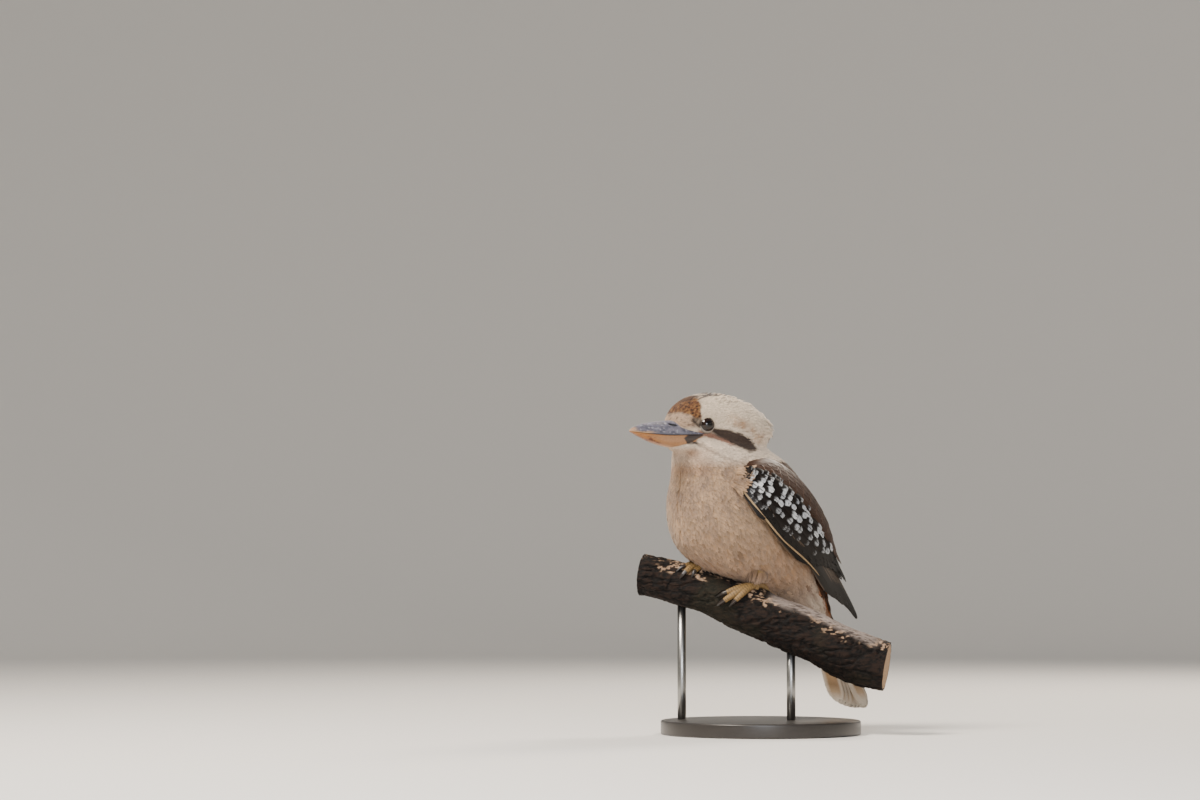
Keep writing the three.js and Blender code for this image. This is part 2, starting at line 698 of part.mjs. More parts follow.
addNode('torso', torso, whitePlumage);
addNode('tail', tail.subtract(perchRoom), barredPlumage);
const wing = leftWing().subtract(bodyRoom);
addNode('wing_left', wing, brownPlumage);
addNode('wing_right', mirrored(wing), brownPlumage);

addNode('perch', perch, bark);
addNode('stand_base', standBase(standTop), blackWood);
rodPlaces.forEach((t, k) => {
  addNode(`stand_rod_${k + 1}`, standRod(t, standTop).subtract(perchRoom), steel);
});

// The origin is under the middle of the whole model's box, at the foot of the base.
const box = new THREE.Box3().setFromObject(model);
const middle = box.getCenter(new THREE.Vector3());
model.position.set(-middle.x, -middle.y, -box.min.z);

const root = new THREE.Group();
root.add(model);
export default root;
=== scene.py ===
import math
import bpy
import numpy as np
from mathutils import Matrix, Vector
from mathutils.bvhtree import BVHTree


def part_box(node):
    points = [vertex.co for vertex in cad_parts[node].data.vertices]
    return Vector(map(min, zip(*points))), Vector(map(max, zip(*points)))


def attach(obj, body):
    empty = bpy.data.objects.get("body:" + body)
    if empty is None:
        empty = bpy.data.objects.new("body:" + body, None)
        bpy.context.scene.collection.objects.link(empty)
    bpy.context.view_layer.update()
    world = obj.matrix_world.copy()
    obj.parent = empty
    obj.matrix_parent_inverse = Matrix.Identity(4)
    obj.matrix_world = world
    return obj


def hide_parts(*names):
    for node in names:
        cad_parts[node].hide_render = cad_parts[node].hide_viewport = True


# A laughing kookaburra as a still, life-size museum model on a cut branch and a plain stand.
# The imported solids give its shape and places. This script lays skin, coat and finishes over them.
# The dictionaries are in millimetres in the bird's own layout: the origin is midway between its feet,
# it faces -Y and +X is its left side. rowPoints() turns layout points into the row frame, in metres.

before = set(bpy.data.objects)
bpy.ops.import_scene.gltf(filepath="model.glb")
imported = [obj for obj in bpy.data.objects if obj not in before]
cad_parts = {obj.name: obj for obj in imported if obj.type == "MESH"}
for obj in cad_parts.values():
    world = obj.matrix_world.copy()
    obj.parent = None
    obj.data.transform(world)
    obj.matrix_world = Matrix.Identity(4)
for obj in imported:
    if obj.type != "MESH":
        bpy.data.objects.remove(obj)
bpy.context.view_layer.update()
rng = np.random.default_rng(7)

eyeInLayout = np.array([19.2, -37.0, 146.2])
eyeLow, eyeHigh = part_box("eye_left")
layoutOrigin = np.array((eyeLow + eyeHigh) / 2) * 1000 - eyeInLayout


def rowPoints(points):
    return (np.asarray(points) + layoutOrigin) / 1000


# Small tools

def hexColour(code):
    parts = np.array([int(code[i:i + 2], 16) for i in (1, 3, 5)]) / 255
    return np.where(parts <= 0.04045, parts / 12.92, ((parts + 0.055) / 1.055) ** 2.4)


def unit(vectors):
    return vectors / np.maximum(np.linalg.norm(vectors, axis=-1, keepdims=True), 1e-9)


def ease(values, low, high):
    share = np.clip((values - low) / (high - low), 0, 1)
    return share * share * (3 - 2 * share)


def blendTo(colours, target, share):
    return colours + (target - colours) * np.asarray(share)[..., None]


# Smooth noise from -1 to 1 whose features are about size millimetres across.
def noise(points, size, seed=0):
    q = np.asarray(points, float) / size + seed * 17.31
    cell = np.floor(q).astype(np.int64)
    f = q - cell
    f = f * f * (3 - 2 * f)
    total = np.zeros(len(q))
    for corner in range(8):
        step = np.array([corner & 1, (corner >> 1) & 1, corner >> 2])
        i, j, k = (cell + step).T
        h = (i * 73856093) ^ (j * 19349663) ^ (k * 83492791) ^ (seed * 9781)
        h = (h ^ (h >> 13)) * 1274126177
        value = ((h ^ (h >> 16)) & 0xffff) / 65535
        total += value * np.prod(np.where(step, f, 1 - f), axis=1)
    return 2 * total - 1


def fractal(points, size, octaves, seed=0):
    return sum(noise(points, size / 2 ** k, seed + k) / 2 ** k for k in range(octaves))


# How far each point is from the middle of its cell, as on scaled or scalloped plumage: 0 middle, 1 rim.
def cells(points, size, seed=0):
    q = np.asarray(points, float) / size + seed * 5.7
    cell = np.floor(q).astype(np.int64)
    nearest = np.full(len(q), 9.0)
    for corner in range(27):
        c = cell + np.array([corner % 3, corner // 3 % 3, corner // 9]) - 1
        h = (c[:, 0] * 73856093) ^ (c[:, 1] * 19349663) ^ (c[:, 2] * 83492791) ^ (seed * 9781)
        h = (h ^ (h >> 13)) * 1274126177
        h = h ^ (h >> 16)
        spot = c + np.stack([h & 255, (h >> 8) & 255, (h >> 16) & 255], 1) / 255
        nearest = np.minimum(nearest, np.linalg.norm(q - spot, axis=1))
    return np.clip(nearest / 0.8, 0, 1)


# Catmull-Rom row of a table of stations, as in the solids.
def between(table, s):
    table = np.asarray(table, float)
    s = np.atleast_1d(np.asarray(s, float))
    last = len(table) - 1
    i = np.clip(np.floor(s).astype(int), 0, last - 1)
    f = (s - i)[:, None]
    a, b, c, d = (table[np.clip(i + o, 0, last)] for o in (-1, 0, 1, 2))
    return b + 0.5 * f * (c - a + f * (2 * a - 5 * b + 4 * c - d + f * (3 * (b - c) + d - a)))


# Quads of a grid of points, rows after one another; closed joins the last column to the first.
def gridFaces(rows, columns, closed=False):
    width = columns if closed else columns - 1
    i, j = np.meshgrid(np.arange(rows - 1), np.arange(width), indexing="ij")
    k = (j + 1) % columns
    return np.stack([i * columns + j, i * columns + k, (i + 1) * columns + k, (i + 1) * columns + j],
                    -1).reshape(-1, 4)


# A tube of rings with both ends closed by fans, as points and two lists of faces.
def tube(rings, flip=False):
    rings = np.asarray(rings, float)
    count, around = rings.shape[:2]
    quads = gridFaces(count, around, True)
    ends = rings[[0, -1]].mean(1)
    points = np.concatenate([rings.reshape(-1, 3), ends])
    j = np.arange(around)
    k = (j + 1) % around
    first = np.stack([np.full(around, count * around), k, j], 1)
    last = (count - 1) * around
    second = np.stack([np.full(around, count * around + 1), last + j, last + k], 1)
    faces = [quads, np.concatenate([first, second])]
    return points, [f[:, ::-1] for f in faces] if flip else faces


def joined(parts):
    points, faces, start = [], [], 0
    for p, fs in parts:
        points.append(p)
        faces += [f + start for f in fs]
        start += len(p)
    return np.concatenate(points), faces


# A mesh object from layout points, lists of faces, linear colours for each point and a place on the unwrap.
def build(name, points, faces, colours=None, uv=None, smooth=True):
    mesh = bpy.data.meshes.new(name)
    corners = np.concatenate([f.ravel() for f in faces]).astype(np.int32)
    sizes = np.concatenate([np.full(len(f), f.shape[1]) for f in faces])
    starts = np.concatenate([[0], np.cumsum(sizes)[:-1]]).astype(np.int32)
    mesh.vertices.add(len(points))
    mesh.vertices.foreach_set("co", rowPoints(points).astype(np.float32).ravel())
    mesh.loops.add(len(corners))
    mesh.loops.foreach_set("vertex_index", corners)
    mesh.polygons.add(len(sizes))
    mesh.polygons.foreach_set("loop_start", starts)
    mesh.polygons.foreach_set("use_smooth", np.full(len(sizes), smooth))
    mesh.update(calc_edges=True)
    mesh.validate()
    if colours is not None:
        tint = mesh.color_attributes.new("Tint", "FLOAT_COLOR", "POINT")
        rgba = np.concatenate([np.clip(colours, 0, 1), np.ones((len(colours), 1))], 1)
        tint.data.foreach_set("color", rgba.astype(np.float32).ravel())
    if uv is not None:
        layer = mesh.uv_layers.new(name="OFBake")
        layer.data.foreach_set("uv", uv[corners].astype(np.float32).ravel())
    made = bpy.data.objects.new(name, mesh)
    bpy.context.scene.collection.objects.link(made)
    return made


def add(tree, kind, settings=None, links=None):
    made = tree.nodes.new(kind)
    for key, value in (settings or {}).items():
        if key in made.inputs:
            made.inputs[key].default_value = value
        else:
            setattr(made, key, value)
    for key, source in (links or {}).items():
        tree.links.new(source, made.inputs[key])
    return made


# A surface from a few settings. Its colour is the Tint of the mesh, or one plain colour, broken up by
# two sizes of mottling, and its relief is fine noise of a real depth.
def finish(name, look):
    material = bpy.data.materials.new(name)
    material.use_nodes = True
    tree = material.node_tree
    tree.nodes.clear()
    place = add(tree, "ShaderNodeTexCoord").outputs["Object"]
    colour = None
    if "colour" not in look:
        colour = add(tree, "ShaderNodeAttribute", {"attribute_name": "Tint"}).outputs["Color"]
    for size, amount in look.get("mottle", []):
        cloud = add(tree, "ShaderNodeTexNoise", {"Scale": 1 / size, "Detail": 3.0}, {"Vector": place})
        level = add(tree, "ShaderNodeMapRange",
                    {"From Min": 0.3, "From Max": 0.7, "To Min": 1 - amount, "To Max": 1 + amount},
                    {"Value": cloud.outputs["Fac"]})
        level.clamp = True
        scaled = add(tree, "ShaderNodeVectorMath", {"operation": "SCALE"}, {"Scale": level.outputs["Result"]})
        if colour is None:
            scaled.inputs["Vector"].default_value = hexColour(look["colour"])
        else:
            tree.links.new(colour, scaled.inputs["Vector"])
        colour = scaled.outputs["Vector"]
    surface = add(tree, "ShaderNodeBsdfPrincipled",
                  {"Roughness": look["roughness"], "IOR": look.get("ior", 1.5),
                   "Metallic": look.get("metallic", 0.0)})
    if colour is None:
        surface.inputs["Base Color"].default_value = (*hexColour(look["colour"]), 1)
    else:
        tree.links.new(colour, surface.inputs["Base Color"])
    for socket in ("Sheen Weight", "Sheen Roughness", "Coat Weight", "Coat Roughness",
                   "Subsurface Weight", "Subsurface Scale", "Specular IOR Level", "Anisotropic"):
        if socket in look:
            surface.inputs[socket].default_value = look[socket]
    if "relief" in look:
        size, depth = look["relief"]
        grain = add(tree, "ShaderNodeTexNoise", {"Scale": 1 / size, "Detail": 4.0}, {"Vector": place})
        bump = add(tree, "ShaderNodeBump", {"Strength": 1.0, "Distance": depth},
                   {"Height": grain.outputs["Fac"]})
        tree.links.new(bump.outputs["Normal"], surface.inputs["Normal"])
    out = add(tree, "ShaderNodeOutputMaterial", {}, {"Surface": surface.outputs["BSDF"]})
    tree.nodes.active = out
    return material


def placePiece(made, material, replaced=()):
    made.data.materials.clear()
    made.data.materials.append(material)
    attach(made, "root")
    if replaced:
        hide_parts(*replaced)
    return made


# Shape of the bird, from the same stations as the solids

# y, z, lean, belly, back, flank of each section of the body
bodyTable = [
    [-4, 146, 4, 34, 36, 28], [-1, 128, 8, 51, 46, 33], [5, 112, 16, 60, 50, 39],
    [13, 97, 24, 75, 54, 47], [24, 79, 31, 82, 58, 52], [39, 59, 35, 74, 60, 53.5],
    [57, 36, 35, 61, 57, 50], [76, 12, 34, 46, 47, 42], [95, -12, 32, 32, 31, 31],
    [113, -33, 30, 24, 19, 24], [131, -56, 30, 16, 10, 19], [147, -79, 30, 8, 4, 14],
]
# y, top, bottom, half width, pinch at the mouth of each section of the head
headTable = [
    [-66, 147.5, 124.5, 6, 0], [-61, 157, 122.5, 13, .25], [-54, 165, 120, 18.5, .28],
    [-45, 171, 116, 22.5, .22], [-35, 175, 114, 25.5, .1], [-22, 177, 112, 29.5, 0],
    [-8, 176.5, 110, 33, 0], [8, 174, 110, 34.5, 0], [22, 169.5, 111, 33.5, 0],
    [34, 162, 114, 29.5, 0], [42, 151.5, 120, 21, 0], [46.5, 138, 130, 7, 0],
]
# y, ridge, keel, half width
billTable = [
    [-112.5, 139.8, 138.6, .8], [-109.5, 141.8, 137, 2.4], [-102, 144.6, 134, 4.6], [-90, 147.2, 130, 7.6],
    [-76, 149, 126.8, 10.8], [-63, 150, 125.2, 13.8], [-50, 147, 125.8, 17.2], [-42, 143, 129, 19.6],
    [-35, 139.6, 134, 20],
]
mouthZ = 137.4
billTipY, billGapeY = -112.5, -35.0


def powered(values, power):
    return np.sign(values) * np.abs(values) ** power


def bodyRings(along, around):
    row = between(bodyTable, np.linspace(0, len(bodyTable) - 1, along))
    y, z, lean, belly, back, flank = (row[:, k, None] for k in range(6))
    a = np.linspace(0, 2 * np.pi, around, endpoint=False)[None, :]
    x = powered(np.cos(a), 0.9) * flank
    v = powered(np.sin(a), 0.9) * np.where(np.sin(a) > 0, back, belly)
    lean = np.radians(lean)
    return np.stack([x, y + np.cos(lean) * v, z + np.sin(lean) * v], -1)


def headRings(along, around):
    row = between(headTable, np.linspace(0, len(headTable) - 1, along))
    y, top, bottom, half, pinch = (row[:, k, None] for k in range(5))
    a = np.linspace(0, 2 * np.pi, around, endpoint=False)[None, :]
    widest = bottom + 0.52 * (top - bottom)
    reach = np.where(np.sin(a) > 0, top - widest, widest - bottom)
    square = np.where(np.sin(a) > 0, 0.86, 0.95)
    z = widest + powered(np.sin(a), square) * reach
    near = np.exp(-(((z - mouthZ + 2) / 7.5) ** 2))
    x = powered(np.cos(a), square) * half * (1 - pinch * near)
    return np.stack([x, y + 0 * x, z], -1)


# Branch: level distance along it, height of its middle, radius

perchTable = [[9.5, 19], [2, 19], [-7, 19.6], [-21, 21.8], [-35.5, 22.6], [-47.5, 22.4], [-64, 24],
              [-75, 22.2]]
perchEnds = (-76.0, 152.0)
turn = math.radians(38)
perchAlong = np.array([math.cos(turn), math.sin(turn), 0])
perchAcross = np.array([perchAlong[1], -perchAlong[0], 0])


def perchAt(t):
    t = np.atleast_1d(np.asarray(t, float))
    row = between(perchTable, (t - perchEnds[0]) / (perchEnds[1] - perchEnds[0]) * (len(perchTable) - 1))
    middle = perchAlong * t[:, None]
    middle[:, 2] = row[:, 0]
    return middle, row[:, 1]


def perchFrame(t):
    middle, radius = perchAt(t)
    ahead = unit(perchAt(np.asarray(t) + 1)[0] - perchAt(np.asarray(t) - 1)[0])
    up = np.cross(ahead, perchAcross)
    return middle, radius, np.where(up[:, 2:] < 0, -up, up), ahead


def overPerch(t, angle, height):
    middle, radius, up, _ = perchFrame(t)
    angle, height = np.atleast_1d(angle)[:, None], np.atleast_1d(height)
    reach = (radius + height)[:, None]
    return middle + perchAcross * reach * np.sin(angle) + up * reach * np.cos(angle)


# How far a point stands out of the branch; inside it is below zero.
def offPerch(points):
    t = points @ perchAlong
    middle, radius, up, _ = perchFrame(np.clip(t, *perchEnds))
    away = points - middle
    return np.hypot(away @ perchAcross, (away * up).sum(1)) - radius


# Feet: millimetres along the branch for each radian round it, reach round it, radius

toes = {
    "inner": (-19, 0.95, 2.8),
    "middle": (-13, 1.28, 3.1),
    "outer": (-7.5, 1.1, 2.9),
    "hind": (10, -0.95, 3.0),
}


def footPlace(side):
    place = np.array([22.0 * side, 9.0 * side, 0])
    t = place @ perchAlong
    return t, math.asin((place @ perchAcross) / perchAt(t)[1][0])


def toePoints(side, toe, share, height=None):
    slant, reach, radius = toes[toe]
    slant += 4 if side < 0 else 0
    t, angle = footPlace(side)
    share = np.asarray(share, float)
    lift = radius * (1.02 - 0.16 * share) if height is None else height
    return overPerch(t + slant * abs(reach) * share, angle + reach * share, lift)


# A bar through points with a radius at each, its rings square to its line.
def barRings(points, radii, steps, around, start=None):
    s = np.linspace(0, len(points) - 1, steps)
    line = between(points, s)
    r = between(np.asarray(radii, float)[:, None], s)[:, 0]
    ahead = unit(np.gradient(line, axis=0))
    side = np.zeros_like(line)
    guide = np.array([0, 0, 1.0]) if start is None else np.asarray(start, float)
    for i in range(steps):
        guide = guide - (guide @ ahead[i]) * ahead[i]
        guide = guide / np.linalg.norm(guide)
        side[i] = guide
    other = np.cross(ahead, side)
    a = np.linspace(0, 2 * np.pi, around, endpoint=False)
    ring = side[:, None] * np.cos(a)[None, :, None] + other[:, None] * np.sin(a)[None, :, None]
    return line[:, None] + ring * r[:, None, None], ring, a, s


# Skin

skinShape = {
    "voxel": 1.45,       # mm between the points of the skin
    "smoothing": 7,      # rounds that melt the seams between head, neck, body and thighs
    "thighKnee": (22, 27, 23),
    "thighRadius": 18,
}


def thighTubes(side):
    t, angle = footPlace(side)
    ankle = overPerch(t, angle, 13)[0]
    knee = np.array(skinShape["thighKnee"], float) * [side, 1, 1]
    shin = barRings(np.array([knee, knee + 0.6 * (ankle - knee), ankle]), [14, 13, 9], 14, 28)[0]
    a = np.linspace(0.02, np.pi - 0.02, 20)[:, None]
    b = np.linspace(0, 2 * np.pi, 32, endpoint=False)[None, :]
    ball = np.stack([np.sin(a) * np.cos(b), np.sin(a) * np.sin(b), np.cos(a) + 0 * b], -1)
    return [tube(shin), tube(knee + ball * skinShape["thighRadius"])]


def remeshed(points, faces, voxel):
    rough = build("rough", points, faces)
    weld = rough.modifiers.new("weld", "REMESH")
    weld.mode = "VOXEL"
    weld.voxel_size = voxel / 1000
    done = rough.evaluated_get(bpy.context.evaluated_depsgraph_get()).to_mesh()
    co = np.zeros(len(done.vertices) * 3)
    done.vertices.foreach_get("co", co)
    quads = np.zeros(len(done.loops), np.int32)
    done.loops.foreach_get("vertex_index", quads)
    bpy.data.objects.remove(rough)
    return co.reshape(-1, 3) * 1000 - layoutOrigin, quads.reshape(-1, 4).astype(np.int64)


def spread(index, values, count):
    return np.stack([np.bincount(index, weights=values[:, k], minlength=count) for k in range(3)], 1)


def smoothed(points, quads, rounds):
    a, b = quads.ravel(), np.roll(quads, -1, axis=1).ravel()
    i, j = np.concatenate([a, b]), np.concatenate([b, a])
    count = np.maximum(np.bincount(i, minlength=len(points)), 1)[:, None]
    for k in range(rounds):
        mean = spread(i, points[j], len(points)) / count
        points = points + (mean - points) * (0.55 if k % 2 == 0 else -0.35)
    return points


def pointNormals(points, quads):
    normal = np.cross(points[quads[:, 2]] - points[quads[:, 0]], points[quads[:, 3]] - points[quads[:, 1]])
    return unit(spread(quads.ravel(), np.repeat(normal, 4, axis=0), len(points)))


# Where a point lies along the spine, from station 0, and how far towards the back it is.
def alongSpine(points):
    table = np.array(bodyTable, float)
    lean = np.radians(table[:, 2])
    down = np.stack([0 * lean, np.sin(lean), -np.cos(lean)], 1)
    middle = np.stack([0 * lean, table[:, 0], table[:, 1]], 1)
    ahead = ((points[:, None, :] - middle[None]) * down[None]).sum(2)
    passed = np.clip((ahead > 0).sum(1) - 1, 0, len(table) - 2)
    rows = np.arange(len(points))
    f0, f1 = ahead[rows, passed], ahead[rows, passed + 1]
    s = np.clip(passed + np.clip(f0 / np.where(np.abs(f0 - f1) < 1e-6, 1e-6, f0 - f1), 0, 1), 0,
                len(table) - 1)
    row = between(table, s)
    tilt = np.radians(row[:, 2])
    back = (points[:, 1] - row[:, 0]) * np.cos(tilt) + (points[:, 2] - row[:, 1]) * np.sin(tilt)
    return s, back


eyeOut = unit(np.array([0.93, -0.36, 0.04]))


# Distance from the middle of the nearer eye, and from the line it looks along.
def nearEye(points):
    mirrored = np.array(points, float)
    mirrored[:, 0] = np.abs(mirrored[:, 0])
    away = mirrored - eyeInLayout
    depth = away @ eyeOut
    across = np.linalg.norm(away - depth[:, None] * eyeOut, axis=1)
    return np.linalg.norm(away, axis=1), across, away


# Markings, the same for skin and coat

plumageColours = {
    "white": "#c9b6a1",
    "crownWhite": "#c5b39c",
    "breast": "#947759",
    "belly": "#86694f",
    "greyScaling": "#56433a",
    "throatBuffAndShade": "#86603f",
    "browBuff": "#8a6238",
    "crownRufous": "#5e381a",
    "crownBuff": "#94703f",
    "crownDark": "#24130a",
    "frontPale": "#96795f",
    "frontDark": "#4a3325",
    "earStripe": "#26150d",
    "lore": "#20140e",
    "cheekRufous": "#6f3a20",
    "foldShade": "#4a3426",
    "mantle": "#342015",
    "mantleEdge": "#674a37",
    "rumpRufous": "#8c5229",
    "rumpBar": "#2a1b14",
    "ventScale": "#6a4a34",
}
paint = {key: hexColour(code) for key, code in plumageColours.items()}


# How much of each marking a place on the bird has, from its layout point.
def markings(points):
    wobble = np.stack([noise(points, 5, 31), noise(points, 5, 32), noise(points, 5, 33)], 1)
    q = points + 0.8 * wobble
    x, y, z = np.abs(q[:, 0]), q[:, 1], q[:, 2]
    s, back = alongSpine(points)
    share = {}
    head = ease(z, 112, 120)
    # rufous forehead and fore-crown, ending in a line from the top of the head down to the eye
    ragged = 2.2 * noise(points, 4.5, 35) + 1.2 * noise(points, 2.2, 36)
    patchRear = -37.5 - 0.30 * (173 - z) - 0.012 * (173 - z) * np.maximum(0, z - 150) + ragged
    patchFloor = 151.5 - 0.35 * (y + 48) + ragged
    share["crown"] = ease(patchRear - y, -1.4, 1.4) * ease(z - patchFloor, -2.5, 2.5) * head
    # a dark streaked band along the middle of the crown, fading towards the nape
    bandHalf = np.interp(y, [-40, -20, 10, 34], [17, 14, 10, 7]) + 3.5 * noise(points * [1, 0.35, 1], 4, 5)
    share["crownBand"] = (ease(y, -44, -38) * (1 - ease(y, 8, 38)) * (1 - ease(x, bandHalf - 3, bandHalf + 1))
                          * ease(z, 158, 164))
    share["front"] = (1 - ease(np.abs(y + 58), 5, 13)) * ease(z, 141, 145) * (1 - share["crown"]) * head
    # dark lore in front of the eye, and round its front
    dy, dz = y + 46.5, z - 147.8
    share["lore"] = 1 - ease(np.sqrt((dy / 7.5) ** 2 + ((dz + 0.35 * dy) / 4.2) ** 2), 0.65, 1.15)
    share["lore"] *= ease(x, 10, 13)
    # ear stripe, from behind the eye to the side of the nape
    top = np.interp(y, [-34, -19, -7, 5, 11, 15], [143.2, 141.8, 139.2, 135.6, 130.5, 125.5])
    foot = np.interp(y, [-34, -29, -19, -7, 4, 15], [138.8, 136.0, 131.2, 125.4, 122.4, 123.5])
    share["ear"] = (ease(top - z, -1.3, 1.3) * ease(z - foot, -2.0, 2.0)
                    * ease(y, -40, -33) * (1 - ease(y, 10.5, 16)) * ease(x, 12, 15))
    under = np.interp(y, [-48, -40, -30, -20, -12], [140.6, 137.4, 134.4, 130.9, 127.4])
    share["cheekRufous"] = (1 - ease(np.abs(z - under - 0.4), 1.2, 3.2)) * ease(y, -48, -42)
    share["cheekRufous"] *= 1 - ease(y, -18, -8)
    share["brow"] = (ease(y, -24, -8) * (1 - ease(y, 16, 30)) * ease(z - top, 2.0, 6.0)
                     * (1 - ease(z - top, 11, 19)) * ease(x, 15, 22))
    # the fold that runs back from the gape: a groove in the skin, and a band of painted shade along it
    fold = np.interp(y, [-49, -46, -38, -30, -20, -6, 6], [131.6, 129.4, 124.0, 118.8, 114.6, 109.0, 105.5])
    along = ease(y, -50, -47) * (1 - 0.65 * ease(y, -34, -16)) * (1 - ease(y, -8, 4)) * ease(x, 8, 11)
    share["fold"] = (1 - ease(np.abs(z - fold + 0.8 * noise(points, 6, 38)), 0.2, 3.4)) * along
    # the dark edge of the bill's lower rear corner, carried onto the feathers
    share["corner"] = (1 - ease(np.abs(z - 128.7), 0.4, 1.5)) * ease(y, -57, -54) * (1 - ease(y, -45, -42))
    share["cheek"] = np.exp(-(((z - fold - 5) / 4.0) ** 2)) * along
    # mantle and back down to the rump, and the barred rufous feathers over the tail
    nape = np.minimum(111 + 0.25 * (y - 26), 114)
    share["mantle"] = ease(back, -1, 4) * ease(nape - z, -1.5, 1.5) * (1 - ease(s, 7.6, 8.2))
    share["rump"] = ease(back, 2, 6) * ease(s, 7.0, 7.8)
    share["rumpBar"] = share["rump"] * ease(np.sin(27 * s + 0.9 * noise(points, 7, 37)), -0.15, 0.25)
    share["breast"] = ease(118 - z, 0, 14) * (1 - share["mantle"]) * (1 - share["rump"])
    # the belly tone deepens downward: partly the bird's own buff, partly painted shade on the underside
    share["belly"] = ease(64 - z, 0, 50) * share["breast"]
    share["scaling"] = share["breast"] * np.exp(-((z - 88) / 24) ** 2) * ease(-y, -22, 8)
    share["flankScale"] = ease(s, 5.2, 7.6) * ease(back, -22, -2) * (1 - share["mantle"]) * (1 - share["rump"])
    share["vent"] = ease(s, 6.8, 8.2) * (1 - share["rump"])
    share["throat"] = ease(-y, 28, 45) * ease(z, 96, 106) * (1 - ease(z, 121, 127))
    return share


def plumage(points, share=None):
    share = markings(points) if share is None else share
    colour = np.tile(paint["white"], (len(points), 1))
    colour = blendTo(colour, paint["crownWhite"], ease(points[:, 2], 138, 150))
    colour = blendTo(colour, paint["breast"], share["breast"])
    # belly colour, stronger lower down: the bird's buff and painted shade
    colour = blendTo(colour, paint["belly"], share["belly"] * 0.85)
    colour = blendTo(colour, paint["white"], share["vent"] * 0.7)
    # the buff throat, darkened further as painted shade under the bill
    colour = blendTo(colour, paint["throatBuffAndShade"], share["throat"] * (0.5 + 0.3 * noise(points, 9, 2)))
    # grey-brown dusk in soft blotches, with a finer mottle on the breast, and warm clouds on the belly
    dusk = np.clip(0.40 + 0.95 * fractal(points * [1, 1, 0.7], 9, 3, 9), 0, 1)
    fine = np.clip(0.35 + 1.1 * fractal(points, 3.4, 2, 15), 0, 1)
    colour = colour * (1 + (0.10 + 0.12 * share["breast"]) * noise(points, 2.4, 22))[:, None]
    colour = blendTo(colour, paint["greyScaling"], share["scaling"] * (0.30 * dusk + 0.42 * fine * dusk))
    colour = blendTo(colour, paint["greyScaling"], share["breast"] * 0.24 * dusk)
    # these warm clouds grow with the belly share, so they also darken the underside as painted shade
    cloud = np.clip(0.15 + 0.9 * fractal(points * [1, 1, 0.8], 24, 2, 16), 0, 1)
    colour = blendTo(colour, paint["belly"] * [0.93, 0.84, 0.76], share["belly"] * 0.55 * cloud)
    buff = np.clip(0.30 + 0.45 * fine + 0.2 * noise(points, 7, 3), 0, 0.8)
    colour = blendTo(colour, paint["browBuff"], share["brow"] * buff)
    colour = blendTo(colour, paint["frontPale"], share["front"] * 0.8)
    flecks = ease(noise(points * [1, 0.5, 1], 2.2, 12), 0.0, 0.6)
    colour = blendTo(colour, paint["frontDark"], share["front"] * flecks * 0.8)
    streak = np.clip(0.72 + 1.1 * noise(points * [1, 0.22, 1], 1.9, 4), 0, 1)
    colour = blendTo(colour, paint["crownDark"], share["crownBand"] * streak)
    # each small feather of the fore-crown is dark in the middle, then rufous, with a buff tip
    rim = cells(points * [1, 0.8, 1] + 0.4 * noise(points, 1.6, 21)[:, None], 2.5, 6)
    rufous = blendTo(np.tile(paint["crownDark"], (len(points), 1)), paint["crownRufous"],
                     ease(rim, 0.26, 0.60))
    rufous = blendTo(rufous, paint["crownBuff"], ease(rim, 0.62, 0.95) * (0.55 + 0.4 * noise(points, 6, 7)))
    rufous = blendTo(rufous, paint["crownDark"], 0.55 * ease(noise(points, 9, 17), 0.0, 0.6))
    colour = blendTo(colour, rufous, share["crown"])
    colour = blendTo(colour, paint["cheekRufous"], share["cheekRufous"] * 0.85)
    colour = blendTo(colour, paint["earStripe"], share["ear"] * 0.97)
    colour = blendTo(colour, paint["lore"], share["lore"] * np.clip(0.85 + 0.3 * noise(points, 2.2, 18), 0,
                                                                    0.95))
    # painted shade along the fold behind the gape
    colour = blendTo(colour, paint["foldShade"], share["fold"] * 0.5
                     * np.clip(0.75 + 0.4 * noise(points, 3, 19), 0, 1))
    colour = blendTo(colour, paint["lore"], share["corner"] * 0.9)
    colour = blendTo(colour, paint["mantle"], share["mantle"])
    colour = blendTo(colour, paint["rumpRufous"], share["rump"])
    colour = blendTo(colour, paint["rumpBar"], share["rumpBar"] * 0.93)
    # thin brown scallops on the rear flank and beside the vent
    scallop = ease(cells(points * [1, 1, 0.75], 5.2, 8), 0.72, 0.95) * np.clip(0.6 + noise(points, 12, 20),
                                                                               0, 1)
    scaled = np.clip(share["flankScale"] + 0.35 * share["vent"], 0, 1)
    colour = blendTo(colour, paint["ventScale"], scallop * scaled * 0.7)
    return colour


# Length and height of the coat over the skin at a place, in millimetres.
def coatSize(points):
    x, y, z = np.abs(points[:, 0]), points[:, 1], points[:, 2]
    s, back = alongSpine(points)
    head = ease(z, 106, 122)
    eyeAway = nearEye(points)[0]
    headLength = 2.8 + 0.082 * np.clip(y + 62, 0, 92)
    headLength *= 0.42 + 0.58 * ease(eyeAway, 9.5, 19)
    bodyLength = 11 + 8 * ease(95 - z, 0, 80) + 3.5 * ease(14 - z, 0, 20) - 5 * ease(s, 8.6, 10.5)
    length = bodyLength + (headLength - bodyLength) * head
    nape = ease(y, 20, 34) * ease(z, 138, 146) * (1 - ease(z, 158, 166))
    length = length + 3.0 * nape
    height = 0.35 + 0.10 * length + 2.6 * nape
    width = length * (0.34 + 0.02 * (1 - head))
    spacing = np.where(head > 0.5, 0.42 + 0.125 * length, 0.148 * length)
    return {"length": length, "height": height, "width": width, "spacing": spacing,
            "depth": 0.35 + 0.12 * length, "head": head, "s": s, "back": back}


